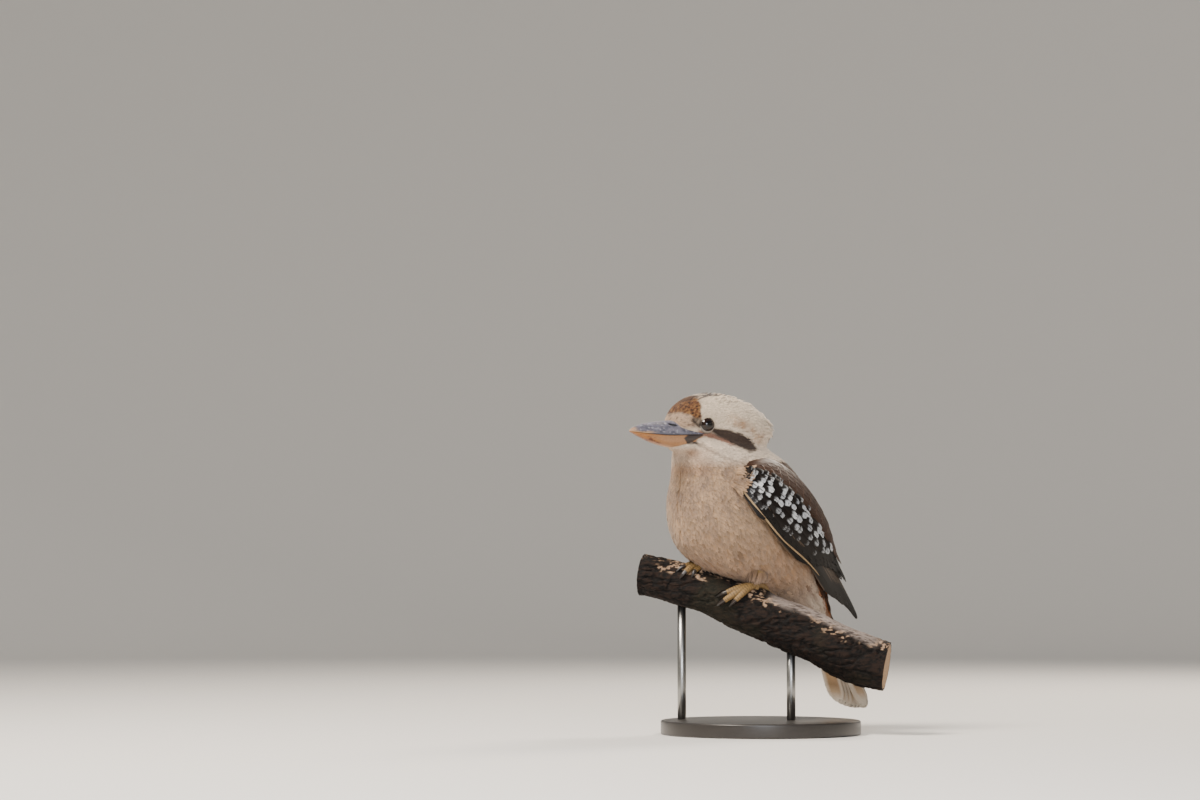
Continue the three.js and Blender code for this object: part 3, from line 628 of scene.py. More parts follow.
# The way the feathers lie, before it is laid into the skin's surface.
def lieAt(points, normals):
    head = ease(points[:, 2], 106, 122)[:, None]
    away = unit(points - np.array([0, -84, 141.0]))
    onHead = away + [0, 0.55, -0.12]
    onBody = np.tile([0, 0.60, -0.80], (len(points), 1)) + 0.12 * np.sign(points) * [1, 0, 0]
    lie = onBody + (onHead - onBody) * head
    toEye, across, awayEye = nearEye(points)
    ring = awayEye * np.stack([np.sign(points[:, 0]), 0 * toEye + 1, 0 * toEye + 1], 1)
    lie = lie + unit(ring) * (0.9 * (1 - ease(across, 8, 15)) * (toEye < 22))[:, None]
    lie = lie - (lie * normals).sum(1, keepdims=True) * normals
    return unit(lie)


# A place on the unwrap of the skin's own shape: round the spine, and along it.
def onUnwrap(points):
    s, back = alongSpine(points)
    head = points[:, 2] > 128
    middleY = np.where(head, np.clip(points[:, 1], -66, 46), 0)
    turnAngle = np.arctan2(points[:, 0], np.where(head, points[:, 2] - 143, back + 4))
    along = np.where(head, 0.02 + 0.34 * (middleY + 66) / 112, 0.40 + 0.58 * s / 11)
    u = 0.5 + turnAngle / (2 * np.pi) * 0.96
    return np.stack([u, along], 1)


skinParts = [tube(headRings(90, 96)), tube(bodyRings(110, 96))]
for side in (1, -1):
    skinParts += thighTubes(side)
skinPoints, skinQuads = remeshed(*joined(skinParts), skinShape["voxel"] * (1))
skinPoints = smoothed(skinPoints, skinQuads, skinShape["smoothing"])
skinNormals = pointNormals(skinPoints, skinQuads)
coatHere = coatSize(skinPoints)
skinPoints = skinPoints - skinNormals * coatHere["depth"][:, None]
# a soft groove runs back from the gape, and the brow stands out over the eye
shares = markings(skinPoints)
hollow = 2.4 * np.exp(-((skinPoints[:, 2] - 130) / 8.5) ** 2) * ease(skinPoints[:, 1], 24, 38)
skinPoints = skinPoints + skinNormals * (1.2 * shares["cheek"] - 1.7 * shares["fold"] - hollow)[:, None]
skinPoints = smoothed(skinPoints, skinQuads, 2)
skinNormals = pointNormals(skinPoints, skinQuads)
print("skin:", len(skinQuads), "quads")

# Bare skin under the coat, coloured like the down, matt; it fills any gap between feathers.
skinFinish = finish("matt down-covered skin, vertex tinted", {
    "roughness": 0.92, "mottle": [(0.0025, 0.12)], "relief": (0.0008, 0.0002), "Sheen Weight": 0.2})
skin = build("skin", skinPoints, [skinQuads], plumage(skinPoints) * 0.8, onUnwrap(skinPoints))
placePiece(skin, skinFinish, ("head", "neck", "torso", "thigh_left", "thigh_right"))
skinTree = BVHTree.FromPolygons(skinPoints.tolist(), skinQuads.tolist())


def ontoSkin(points):
    found = [skinTree.find_nearest(Vector(p)) for p in points]
    return np.array([f[0] for f in found]), np.array([f[1] for f in found])


# Coat

coatLook = {
    "faceBarbs": 2,
    "headBarbs": 4,
    "bodyBarbs": 5,
    "mantleBarbs": 5,
    "samples": 900000,     # places tried on the skin
    "strayAngle": 0.11,    # radians a feather turns out of the lie
    "patch": 0.003,        # width of a feather's patch on the unwrap
    "batch": 400,          # feathers made at a time
    "quadsPerPiece": 98000,
    "eyeReach": 14,        # mm from the eye's middle within which these two keep it clear
    "eyeClearRoot": 7.8,
    "eyeClearTip": 7.1,
    "underWing": 0.75,     # share of the feathers left out beneath a folded wing
}


# One feather flat: along the shaft, across it, and its quads. openness is how far its barbs part.
def featherShape(barbs, openness, seed):
    draw = np.random.default_rng(seed)
    rows = []
    step = 0.84 / barbs
    for side in (1, -1):
        for k in range(barbs):
            s0 = 0.02 + step * k
            reach = 0.30 - 0.13 * k / barbs + draw.uniform(-0.03, 0.03)
            edge = math.sin(math.pi * (0.16 + 0.74 * (s0 + reach))) ** 0.75 * draw.uniform(0.86, 1.08)
            for q, wide in ((0, 1.2), (0.55, 1.0), (1, 1.05 - openness)):
                s = s0 + reach * q
                for sign in (-1, 1):
                    rows.append((s + sign * side * step * wide / 2, side * edge * q ** 0.9))
    for q, wide in ((0, 0.30), (0.5, 0.26), (1, 0.24 * (1.02 - openness))):
        for sign in (1, -1):
            rows.append((0.66 + 0.34 * q, sign * wide))
    rows = np.array(rows)
    count = 2 * barbs + 1
    base = np.arange(count)[:, None, None] * 6 + np.array([[0, 1, 3, 2], [2, 3, 5, 4]])[None]
    return rows[:, 0], rows[:, 1], base.reshape(-1, 4)


def coatRoots():
    a, b, c, d = (skinPoints[skinQuads[:, k]] for k in range(4))
    area = 0.5 * np.linalg.norm(np.cross(c - a, d - b), axis=1)
    middle = (a + b + c + d) / 4
    here = coatSize(middle)
    weight = area / here["spacing"] ** 2
    count = coatLook["samples"] // 1
    pick = rng.choice(len(weight), count, p=weight / weight.sum())
    u, v = rng.random((2, count, 1))
    points = (a[pick] * (1 - u) + b[pick] * u) * (1 - v) + (d[pick] * (1 - u) + c[pick] * u) * v
    scale = 1.0
    gap = coatSize(points)["spacing"] * scale
    level = np.round(np.log(gap) / math.log(1.12)).astype(int)
    size = 1.12 ** level
    cell = np.floor(points / size[:, None]).astype(np.int64)
    key = (cell[:, 0] * 73856093) ^ (cell[:, 1] * 19349663) ^ (cell[:, 2] * 83492791) ^ (level * 915488749)
    _, first = np.unique(key, return_index=True)
    points = points[first]
    return points, skinNormals[skinQuads[pick[first], 0]]


roots, rootNormals = coatRoots()
# none on the bill, the eyes, the feet, inside the branch or under the folded wings
toEye, acrossEye, _ = nearEye(roots)
keep = ~((acrossEye < coatLook["eyeClearRoot"]) & (toEye < coatLook["eyeReach"]))
keep &= offPerch(roots) > -1.5


def insideBill(points, grow):
    stations = np.array(billTable)
    row = between(stations[:, 1:], np.interp(points[:, 1], stations[:, 0], np.arange(len(stations))))
    z = points[:, 2]
    tall = np.where(z > mouthZ, (z - mouthZ) / np.maximum(row[:, 0] - mouthZ, 0.1),
                    (mouthZ - z) / np.maximum(mouthZ - row[:, 1], 0.1))
    half = row[:, 2] * np.sqrt(np.clip(1 - tall ** 2, 0, 1))
    return (np.abs(points[:, 0]) < half + grow) & (tall < 1) & (points[:, 1] < billGapeY + 1)


keep &= ~insideBill(roots, 0.4)
wingTrees = [BVHTree.FromObject(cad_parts[n], bpy.context.evaluated_depsgraph_get())
             for n in ("wing_left", "wing_right")]
covered = np.zeros(len(roots), bool)
rootRow = rowPoints(roots)
for i in np.nonzero(keep & (roots[:, 2] < 112))[0]:
    tree = wingTrees[0 if roots[i, 0] > 0 else 1]
    origin = Vector(rootRow[i]) + Vector(rootNormals[i]) * 0.0005
    hit = tree.ray_cast(origin, Vector(rootNormals[i]), 0.016)[0]
    if hit is not None:
        covered[i] = rng.random() < coatLook["underWing"]
keep &= ~covered
roots, rootNormals = roots[keep], rootNormals[keep]
print("coat roots:", len(roots))


def layFeathers(roots, normals):
    size = coatSize(roots)
    count = len(roots)
    lie = lieAt(roots, normals)
    cross = np.cross(normals, lie)
    swing = rng.normal(0, coatLook["strayAngle"], count) + 0.20 * noise(roots, 16, 41)
    lie = unit(lie * np.cos(swing)[:, None] + cross * np.sin(swing)[:, None])
    length = size["length"] * rng.uniform(0.82, 1.18, count)
    middle, middleNormal = ontoSkin(roots + lie * (length / 2)[:, None])
    onward = unit(middle - roots)
    onward = unit(onward - (onward * middleNormal).sum(1, keepdims=True) * middleNormal)
    tip, tipNormal = ontoSkin(middle + onward * (length / 2)[:, None])
    height = size["height"] * rng.uniform(0.75, 1.25, count)
    # ruffled tufts at the rear of the crown and along its top
    rear = ease(roots[:, 1], 14, 30) * ease(roots[:, 2], 134, 142) * (1 - ease(roots[:, 2], 160, 168))
    crest = ease(roots[:, 2], 163, 169) * ease(roots[:, 1], -34, -24) * (1 - ease(roots[:, 1], 20, 30))
    height = height + (3.6 * rear * (rng.random(count) < 0.10) + 1.6 * crest * (rng.random(count) < 0.10))
    wisp = ease(60 - roots[:, 2], 0, 30) * (1 - size["head"]) * (rng.random(count) < 0.05)
    length = length * (1 + 0.35 * wisp)
    height = height + 1.4 * wisp
    return {"root": roots, "middle": middle, "tip": tip, "rootNormal": normals, "middleNormal": middleNormal,
            "tipNormal": tipNormal, "length": length, "height": height,
            "width": size["width"] * rng.uniform(0.85, 1.15, count), "size": size}


# Folded left wing: lower edge, upper edge and bulge at each station from the bend to the tip.
wingTable = [
    [45, -20, 87, 39, -5, 107, 3], [55, -5, 64, 47, 24, 101, 6], [57.5, 20, 41, 48, 57, 83, 8],
    [53, 60, 19, 39, 92, 57, 8], [39, 102, -6, 27, 119, 23, 5], [21, 155, -36, 17, 161, -28, 1],
]


def wingSurface(u, v):
    def at(uu, vv):
        row = between(wingTable, np.clip(uu, 0, 1) * (len(wingTable) - 1))
        vv = vv[:, None]
        point = row[:, 0:3] * (1 - vv) + row[:, 3:6] * vv
        point[:, 0] += row[:, 6] * (4 * vv * (1 - vv))[:, 0]
        return point
    u, v = np.broadcast_arrays(np.asarray(u, float), np.asarray(v, float))
    step = 0.01
    ahead = np.minimum(u + step, 1)
    along = at(ahead, v) - at(ahead - 2 * step, v)
    normal = unit(np.cross(at(u, v + step) - at(u, v - step), along))
    normal = np.where(normal[:, :1] < 0, -normal, normal)
    return at(u, v), normal


overlap = {
    "front": 280,          # breast feathers that lie over the bend of each wing
    "skirt": 170,          # thigh feathers that hang round the top of each foot
}


# Feathers that the skin's own coat has no place for, as root, middle and tip with the surface's normal:
# breast feathers over the bend of the folded wing, and thigh feathers round the ankle.
def overlapFeathers(side):
    draw = np.random.default_rng(60 + side)
    mirror = np.array([side, 1, 1])
    count = overlap["front"]
    v = draw.uniform(-0.12, 0.97, count)
    edge, n1 = wingSurface(np.zeros(count), v)
    bend = unit(wingSurface(np.full(count, 0.03), v)[0] - edge)
    ahead, n0 = ontoSkin((edge - bend * 9) * mirror)
    ahead, n0 = ahead * mirror, n0 * mirror
    behind, n2 = wingSurface(np.full(count, 0.07), v + 0.03)
    ahead, edge, behind = ahead + n0 * 0.6, edge + n1 * 0.9 - bend * 0.8, behind + n2 * 4.4

    # a curved sheet from the breast over the bend onto the first coverts, shingled like the coat
    def sheet(w):
        w = w[:, None]
        return ahead * (1 - w) * (1 - 2 * w) + edge * 4 * w * (1 - w) + behind * w * (2 * w - 1)
    start = draw.uniform(-0.05, 1.0, count) * 0.66
    run = draw.uniform(0.22, 0.42, count)
    normal = unit(n0 * (1 - start)[:, None] + n1 + n2 * start[:, None])
    rows = [(sheet(start), sheet(start + run / 2), sheet(start + run), normal)]
    t, angle = footPlace(side)
    ankle = overPerch(t, angle, 13)[0]
    up = unit(overPerch(t, angle, 30)[0] - ankle)
    fore = unit(np.cross(perchAlong, up))
    turnBy = draw.uniform(0, 2 * np.pi, overlap["skirt"])
    outward = np.cos(turnBy)[:, None] * perchAlong + np.sin(turnBy)[:, None] * fore
    lift = draw.uniform(-3, 8, len(turnBy))[:, None]
    drop = draw.uniform(4.0, 8.5, len(turnBy))[:, None]
    first = ontoSkin(ankle + outward * 8 + up * lift)[0]
    last = ankle + outward * draw.uniform(4.5, 8.0, len(turnBy))[:, None] - up * drop
    rows.append((first * mirror, (0.55 * first + 0.45 * last + outward * 1.0) * mirror, last * mirror,
                 outward * mirror))
    return [np.concatenate([row[k] * mirror for row in rows]) for k in range(4)]


laid = layFeathers(roots, rootNormals)
for side in (1, -1):
    first, middle, last, normal = overlapFeathers(side)
    count = len(first)
    span = np.linalg.norm(last - first, axis=1)
    size = coatSize(first)
    size["head"] = np.zeros(count)
    extra = {"root": first, "middle": middle, "tip": last, "rootNormal": normal, "middleNormal": normal,
             "tipNormal": normal, "length": span, "height": rng.uniform(0.9, 2.2, count),
             "width": np.clip(span * 0.30, 1.8, 2.7) * rng.uniform(0.8, 1.1, count), "size": size}
    for key, value in extra.items():
        laid[key] = ({k: np.concatenate([laid[key][k], value[k]]) for k in value} if key == "size"
                     else np.concatenate([laid[key], value]))
    roots = np.concatenate([roots, first])
# feathers that would lie across an eye, the bill or into the branch are left out
toEyeTip, acrossTip, _ = nearEye(laid["tip"])
bad = (acrossTip < coatLook["eyeClearTip"]) & (toEyeTip < coatLook["eyeReach"])
bad |= insideBill(laid["tip"], 0.2) & (roots[:, 1] < billGapeY)
keepFeather = ~bad
inTheCoat = laid["middle"] * 0.5 + laid["tip"] * 0.5
overlapping = np.arange(len(roots)) >= len(roots) - 2 * sum(overlap.values())
inTheCoat[overlapping] = laid["root"][overlapping] - [0, 2, 0]
marks = markings(inTheCoat)
for key in ("mantle", "rump", "rumpBar"):
    marks[key] = np.where(overlapping | (roots[:, 2] > 121), 0, marks[key])
base = plumage(inTheCoat, marks)
tuftUv = onUnwrap(roots)

# kind of each feather: 0 face, 1 head, 2 body, 3 mantle and rump
kind = np.where(laid["size"]["head"] > 0.5, np.where(laid["size"]["length"] < 5.0, 0, 1), 2)
kind[(marks["mantle"] > 0.5) | (marks["rump"] > 0.5)] = 3
kindShapes = [
    [featherShape(coatLook["faceBarbs"], 0.75, 100 + k) for k in range(5)],
    [featherShape(coatLook["headBarbs"], 0.85, 200 + k) for k in range(6)],
    [featherShape(coatLook["bodyBarbs"], 0.85, 300 + k) for k in range(8)],
    [featherShape(coatLook["mantleBarbs"], 0.12, 400 + k) for k in range(6)],
]
variant = rng.integers(0, 1000, len(roots))


def featherMesh(index, shape, kindNumber):
    s, t, quads = shape
    n = len(index)
    r, m, e = (laid[k][index][:, None, :] for k in ("root", "middle", "tip"))
    ss = s[None, :, None]
    line = r * (1 - ss) * (1 - 2 * ss) + m * 4 * ss * (1 - ss) + e * ss * (2 * ss - 1)
    up = unit(laid["rootNormal"][index][:, None] * (1 - ss) + laid["tipNormal"][index][:, None] * ss)
    across = unit(np.cross(laid["middleNormal"][index], laid["tip"][index] - laid["root"][index]))[:, None]
    height = laid["height"][index][:, None]
    width = laid["width"][index][:, None]
    rise = -0.3 + (height + 0.3) * np.clip(s, 0, 1)[None, :] ** 0.8
    rise = rise - 0.22 * width * t[None, :] ** 2 * (0.4 + 0.6 * s[None, :])
    points = line + up * rise[..., None] + across * (t[None, :] * width / 2)[..., None]
    faces = (quads[None] + (np.arange(n) * len(s))[:, None, None]).reshape(-1, 4)
    colour = np.repeat(base[index][:, None], len(s), 1)
    shade = np.clip(1 + rng.normal(0, 0.11, n), 0.7, 1.3)[:, None, None]
    end = ease(s, 0.55, 1.0)[None, :, None]
    if kindNumber == 3:
        edge = np.clip(ease(np.abs(t), 0.55, 0.95) + ease(s, 0.86, 1.0), 0, 1)[None, :]
        mantle = marks["mantle"][index][:, None]
        colour = blendTo(colour, paint["mantleEdge"], edge * mantle * 0.42)
        colour = colour * shade
    else:
        dark = (1 - s)[None, :, None] * 0.18
        colour = colour * (1 - dark) * shade
        pale = marks["ear"] + marks["crown"] + marks["lore"]
        lighten = (1 - np.clip(pale[index], 0, 1))[:, None, None] * end * 0.10
        colour = colour + lighten * (1 - colour) * 0.5
    uv = tuftUv[index][:, None] + np.stack([(t * 0.5), (s - 0.5)], 1)[None] * coatLook["patch"]
    return points.reshape(-1, 3), faces, colour.reshape(-1, 3), uv.reshape(-1, 2)


# Barbs of keratin, each feather a fan of thin blades; rough and softly sheened so it reads as down and vane.
coatFinish = finish("soft barbed feather, fine mesh vanes, vertex tinted", {
    "roughness": 0.78, "mottle": [(0.0012, 0.08)], "Sheen Weight": 0.25, "Sheen Roughness": 0.5,
    "Specular IOR Level": 0.3})
mantleFinish = finish("closed brown vane feather, vertex tinted", {
    "roughness": 0.62, "mottle": [(0.0012, 0.10)], "Specular IOR Level": 0.14})


def coatPieces():
    regions = np.select(
        [kind == 3, laid["size"]["head"] > 0.5, roots[:, 2] > 62, roots[:, 2] > 12],
        [3, 0, 1, 2], 4)
    names = {0: "coat_head", 1: "coat_breast", 2: "coat_belly", 3: "coat_mantle", 4: "coat_vent"}
    for region, name in names.items():
        number = 1
        ids = np.nonzero((regions == region) & keepFeather)[0]
        ids = ids[np.argsort(roots[ids, 0])]
        batches = []
        for chunk in np.array_split(ids, max(1, len(ids) // coatLook["batch"])):
            for kindNumber in range(4):
                shapes = kindShapes[kindNumber]
                for v, shape in enumerate(shapes):
                    index = chunk[(kind[chunk] == kindNumber) & (variant[chunk] % len(shapes) == v)]
                    if len(index):
                        batches.append(featherMesh(index, shape, kindNumber))
        while batches:
            lot, quadsInLot = [], 0
            while batches and quadsInLot + len(batches[0][1]) < coatLook["quadsPerPiece"]:
                lot.append(batches.pop(0))
                quadsInLot += len(lot[-1][1])
            faces, start = [], 0
            for p, f, _, _ in lot:
                faces.append(f + start)
                start += len(p)
            piece = build(f"{name}_{number}", np.concatenate([b[0] for b in lot]), [np.concatenate(faces)],
                          np.concatenate([b[2] for b in lot]), np.concatenate([b[3] for b in lot]))
            brown = region == 3
            placePiece(piece, mantleFinish if brown else coatFinish)
            print(piece.name, 2 * quadsInLot, "triangles")
            number += 1


coatPieces()


# Wing and tail vanes

tailRoot, tailTip = np.array([0, 102.0, 16]), np.array([0, 180.0, -117])


def tailSurface(u, v):
    u, v = np.broadcast_arrays(np.asarray(u, float), np.asarray(v, float))
    along = tailTip - tailRoot
    axis = along / np.linalg.norm(along)
    normal = unit(np.array([0, -along[2], along[1]]))
    point = tailRoot + u[:, None] * along + normal * (3 * np.sin(np.pi * u) - 3 * v * v)[:, None]
    point[:, 0] = v * 29 * (0.55 + 0.45 * u)
    side = np.cross(axis, normal)
    tilt = (0.22 * v)[:, None]
    return point, normal * np.cos(tilt) + side * np.sin(tilt)


# One vane: its webs are rows of barbs that leave the shaft slantwise, with small splits at the edge.
# Returns points, quads, and for each point its place along and across the vane and whether it is shaft.
def vaneMesh(surface, start, end, look, draw):
    width, lift, roll = look["width"], look["lift"], look.get("roll", 0.13)
    share = np.linspace(0, 1, 25)
    line, normal = surface(start[0] + (end[0] - start[0]) * share, start[1] + (end[1] - start[1]) * share)
    line = line + normal * (lift[0] + (lift[1] - lift[0]) * share)[:, None]
    line = line + normal * (look.get("arch", 0) * np.sin(np.pi * share))[:, None]
    steps = np.linalg.norm(np.diff(line, axis=0), axis=1)
    long = steps.sum()
    ahead = unit(np.gradient(line, axis=0))
    beside = unit(np.cross(normal, ahead))
    turned = beside * math.cos(roll) + np.cross(ahead, beside) * math.sin(roll)
    normal = unit(np.cross(ahead, turned))
    barbs = max(8, int(long / look.get("barb", 1.15)))
    tipShare = look.get("tipShare", 0.25)
    slant = min(0.35, 0.62 * width / long)
    k = (np.arange(barbs) + 0.5) / barbs
    rows, quads = [], []
    stations = np.array(look.get("stations", (0, 0.4, 0.78, 1.0)))
    for side in (1, -1):
        fray = look.get("fray", 0.014)
        jag = 1 + fray * draw.normal(size=barbs) - 0.07 * (draw.random(barbs) < 0.03)
        drift = np.cumsum(draw.normal(0, 0.0012, barbs))
        for q in stations:
            s = k + q * np.minimum(slant, 0.92 * (1 - k)) + drift * q
            swell = 0.45 + 0.55 * np.sin(np.minimum(1, s / (1 - tipShare)) * np.pi / 2)
            beyond = np.clip((s - 1 + tipShare) / tipShare, 0, 1)
            close = np.sqrt(np.clip(1 - beyond ** 2, 0, 1))
            t = side * q * swell * close * np.where(q == 1, jag, 1)
            half = 0.58 / barbs * (1 - look.get("part", 0.04) * q)
            for sign in (-1, 1):
                rows.append(np.stack([np.clip(s + sign * side * half, 0, 1), t, 0 * s, 0 * s + q], 1))
    across = len(stations)
    table = np.stack(rows).reshape(2, across, 2, barbs, 4)
    where = np.arange(table[..., 0].size).reshape(2, across, 2, barbs)
    for side in range(2):
        for q in range(across - 1):
            a, b, c, d = where[side, q, 0], where[side, q, 1], where[side, q + 1, 1], where[side, q + 1, 0]
            quads.append(np.stack([a, b, c, d], 1))
    flat = table.reshape(-1, 4)
    # a thin sheet just under the barbs closes the gaps where they fan out at the tip
    ss = np.linspace(0.01, 0.975, 16)
    wide = (0.45 + 0.55 * np.sin(np.minimum(1, ss / (1 - tipShare)) * np.pi / 2)) * np.sqrt(
        np.clip(1 - np.clip((ss - 1 + tipShare) / tipShare, 0, 1) ** 2, 0, 1))
    sheet = np.stack([np.repeat(ss, 5), np.outer(wide, [-0.93, -0.5, 0, 0.5, 0.93]).ravel(),
                      np.zeros(80), np.full(80, -1.0)], 1)
    quads.append(gridFaces(16, 5) + len(flat))
    flat = np.concatenate([flat, sheet])
    shaftSteps = 14
    ss = np.linspace(0, 0.985, shaftSteps)
    shaft = []
    for t, h in ((1, 0), (0, 1), (-1, 0)):
        shaft.append(np.stack([ss, t * (1 - 0.85 * ss), 0 * ss + 1, h * (1 - 0.7 * ss)], 1))
    shaft = np.stack(shaft, 1).reshape(-1, 4)
    shaftQuads = gridFaces(shaftSteps, 3)
    s = np.concatenate([flat[:, 0], shaft[:, 0]])
    cell = s * 24
    i = np.clip(np.floor(cell).astype(int), 0, 23)
    f = (cell - i)[:, None]
    c = line[i] * (1 - f) + line[i + 1] * f
    n = unit(normal[i] * (1 - f) + normal[i + 1] * f)
    b = unit(turned[i] * (1 - f) + turned[i + 1] * f)
    camber = look.get("camber", 0.09) * width
    shaftWide = look.get("shaft", 0.035) * width / 2
    web = len(flat)
    offset = np.concatenate([flat[:, 1] * width / 2, shaft[:, 1] * shaftWide])
    rise = np.concatenate([-camber * flat[:, 1] ** 2 + 0.12 * flat[:, 3],
                           0.05 + shaft[:, 3] * shaftWide * 1.1])
    points = c + b * offset[:, None] + n * rise[:, None]
    places = np.stack([s, np.concatenate([flat[:, 1], np.zeros(len(shaft))]),
                       np.concatenate([np.zeros(web), np.ones(len(shaft))])], 1)
    return points, np.concatenate([*quads, shaftQuads + web]), places


wingColours = {
    "flight": "#0e0a08",
    "flightEdge": "#6e5a48",
    "covert": "#120c09",
    "covertSpot": "#d3d5d6",
    "spotGrey": "#8d9097",
    "covertEdge": "#3a2c23",
    "scapular": "#352116",
    "scapularEdge": "#6c4f3b",
    "edgeCream": "#a58e6e",
    "tailRufous": "#8e4f25",
    "tailBar": "#1b120e",
    "tailTip": "#e4dacd",
    "tailUnder": "#b4946f",
}
wingPaint = {key: hexColour(code) for key, code in wingColours.items()}


def vaneColours(kindName, places, draw, spot=1.0, tone=1.0, outer=0.0):
    s, t, shaft = places.T
    n = len(s)
    streak = 1 + 0.10 * np.sin(s * 260 + t * 9 + draw.random() * 9) * 0.5
    jitter = draw.normal(0, 0.03)
    if kindName == "scapular":
        colour = np.tile(wingPaint["scapular"], (n, 1))
        edge = ease(np.abs(t), 0.84, 0.98) * 0.7 + ease(s, 0.965, 1.0)
        colour = blendTo(colour, wingPaint["scapularEdge"], np.clip(edge, 0, 1) * 0.45)
    elif kindName == "covert":
        colour = np.tile(wingPaint["covert"], (n, 1))
        colour = blendTo(colour, wingPaint["covertEdge"], ease(np.abs(t), 0.8, 1.0) * 0.4)
        # a pale brush at the tip: long, its inner end frayed, split by the dark shaft, washed grey
        lean = draw.normal(0, 0.10)
        ragged = 0.035 * np.sin(t * 23 + draw.random() * 6) + 0.03 * np.sin(t * 51 + draw.random() * 6)
        reach = 0.91 - 0.18 * spot + ragged
        blob = ease(s - 0.10 * np.abs(t - lean), reach - 0.03, reach + 0.05)
        blob = blob * (1 - ease(np.abs(t - lean), 0.52, 0.82)) * ease(np.abs(t - lean), 0.02,
                                                                      0.12 - 0.07 * spot)
        grey = blendTo(np.tile(wingPaint["covertSpot"], (n, 1)), wingPaint["spotGrey"],
                       np.clip(0.30 + 0.35 * np.sin(t * 34 + s * 9) + 1.4 * (0.92 - s) + 0.25
                               * draw.normal(), 0, 0.9))
        colour = blendTo(colour, grey, blob * np.clip(0.35 + 0.62 * spot, 0, 0.97))
    elif kindName in ("tail", "tailUnder"):
        under = kindName == "tailUnder"
        colour = np.tile(wingPaint["tailUnder" if under else "tailRufous"], (n, 1))
        bars = ease(np.sin(s * 62 - np.abs(t) * 1.6 + 0.8 * np.sin(3 * t)), 0.05, 0.4)
        colour = blendTo(colour, wingPaint["tailBar"], bars * (1 - ease(s, 0.84, 0.9))
                         * (0.30 if under else 0.95))
        colour = blendTo(colour, wingPaint["tailTip"], ease(s, 0.90, 0.94))
        colour = blendTo(colour, wingPaint["tailTip"], ease(np.abs(t), 0.80, 0.92) * outer)
    else:
        colour = np.tile(wingPaint["flight"], (n, 1))
        colour = blendTo(colour, wingPaint["flightEdge"], ease(np.abs(t), 0.90, 0.99) * 0.65)
        colour = blendTo(colour, wingPaint["edgeCream"], np.full(n, outer))
    colour = colour * (streak * (1 + jitter) * tone)[:, None]
    return np.where(shaft[:, None] > 0.5, colour * 0.7, colour)


# Rows of vanes: how many, their size, where their tips run on the wing, and how high they lie.
wingRows = {
    "primaries": {"count": 9, "width": 12.5, "lift": (-0.9, -1.1),
     "root": ((.42, .16), (.3, .3)), "tip": ((.86, .06), (1, .6))},
    "secondaries": {"count": 11, "width": 15, "lift": (-0.7, 1.2),
     "root": ((.14, .2), (.42, .5)), "tip": ((.6, .02), (.84, .74))},
    "tertials": {"count": 4, "width": 17, "lift": (-0.5, 3.0),
     "root": ((.34, .62), (.46, .8)), "tip": ((.74, .62), (.88, .94))},
    "primaryCoverts": {"count": 9, "width": 9, "lift": (0.2, 2.2), "tipShare": .3,
     "root": ((.02, .3), (.34, .2)), "tip": ((.16, .08), (.54, .05))},
    "alula": {"count": 3, "width": 8, "lift": (0.4, 2.6), "tipShare": .3,
     "root": ((.01, .12), (.05, .26)), "tip": ((.24, .02), (.28, .10))},
}
# Rows of spotted coverts, lowest first: count, length, width, tips from and to, height, size of the spot
covertRows = [
    (13, 33, 10.5, (.11, .12), (.60, .24), 2.3, 0.0),
    (12, 31, 10.0, (.11, .24), (.62, .37), 2.8, 0.5),
    (11, 29, 9.8, (.09, .37), (.655, .50), 3.3, 0.9),
    (11, 27, 9.6, (.08, .50), (.66, .61), 3.8, 1.1),
    (10, 25, 9.4, (.065, .62), (.60, .69), 4.2, 1.0),
    (9, 20, 8.8, (.05, .73), (.42, .76), 4.6, 0.6),
    (8, 15, 8.2, (.035, .84), (.24, .84), 4.9, 0.2),
]
scapularRows = [
    (12, 40, 16, (.12, .93), (.70, .72), 4.7),
    (12, 44, 17, (.16, 1.0), (.76, .82), 5.0),
    (11, 46, 17, (.20, 1.06), (.80, .92), 5.2),
    (10, 46, 17, (.24, 1.12), (.82, 1.02), 5.3),
]
wingLong = 235.0


def lineAt(line, share):
    return (line[0][0] + (line[1][0] - line[0][0]) * share, line[0][1] + (line[1][1] - line[0][1]) * share)


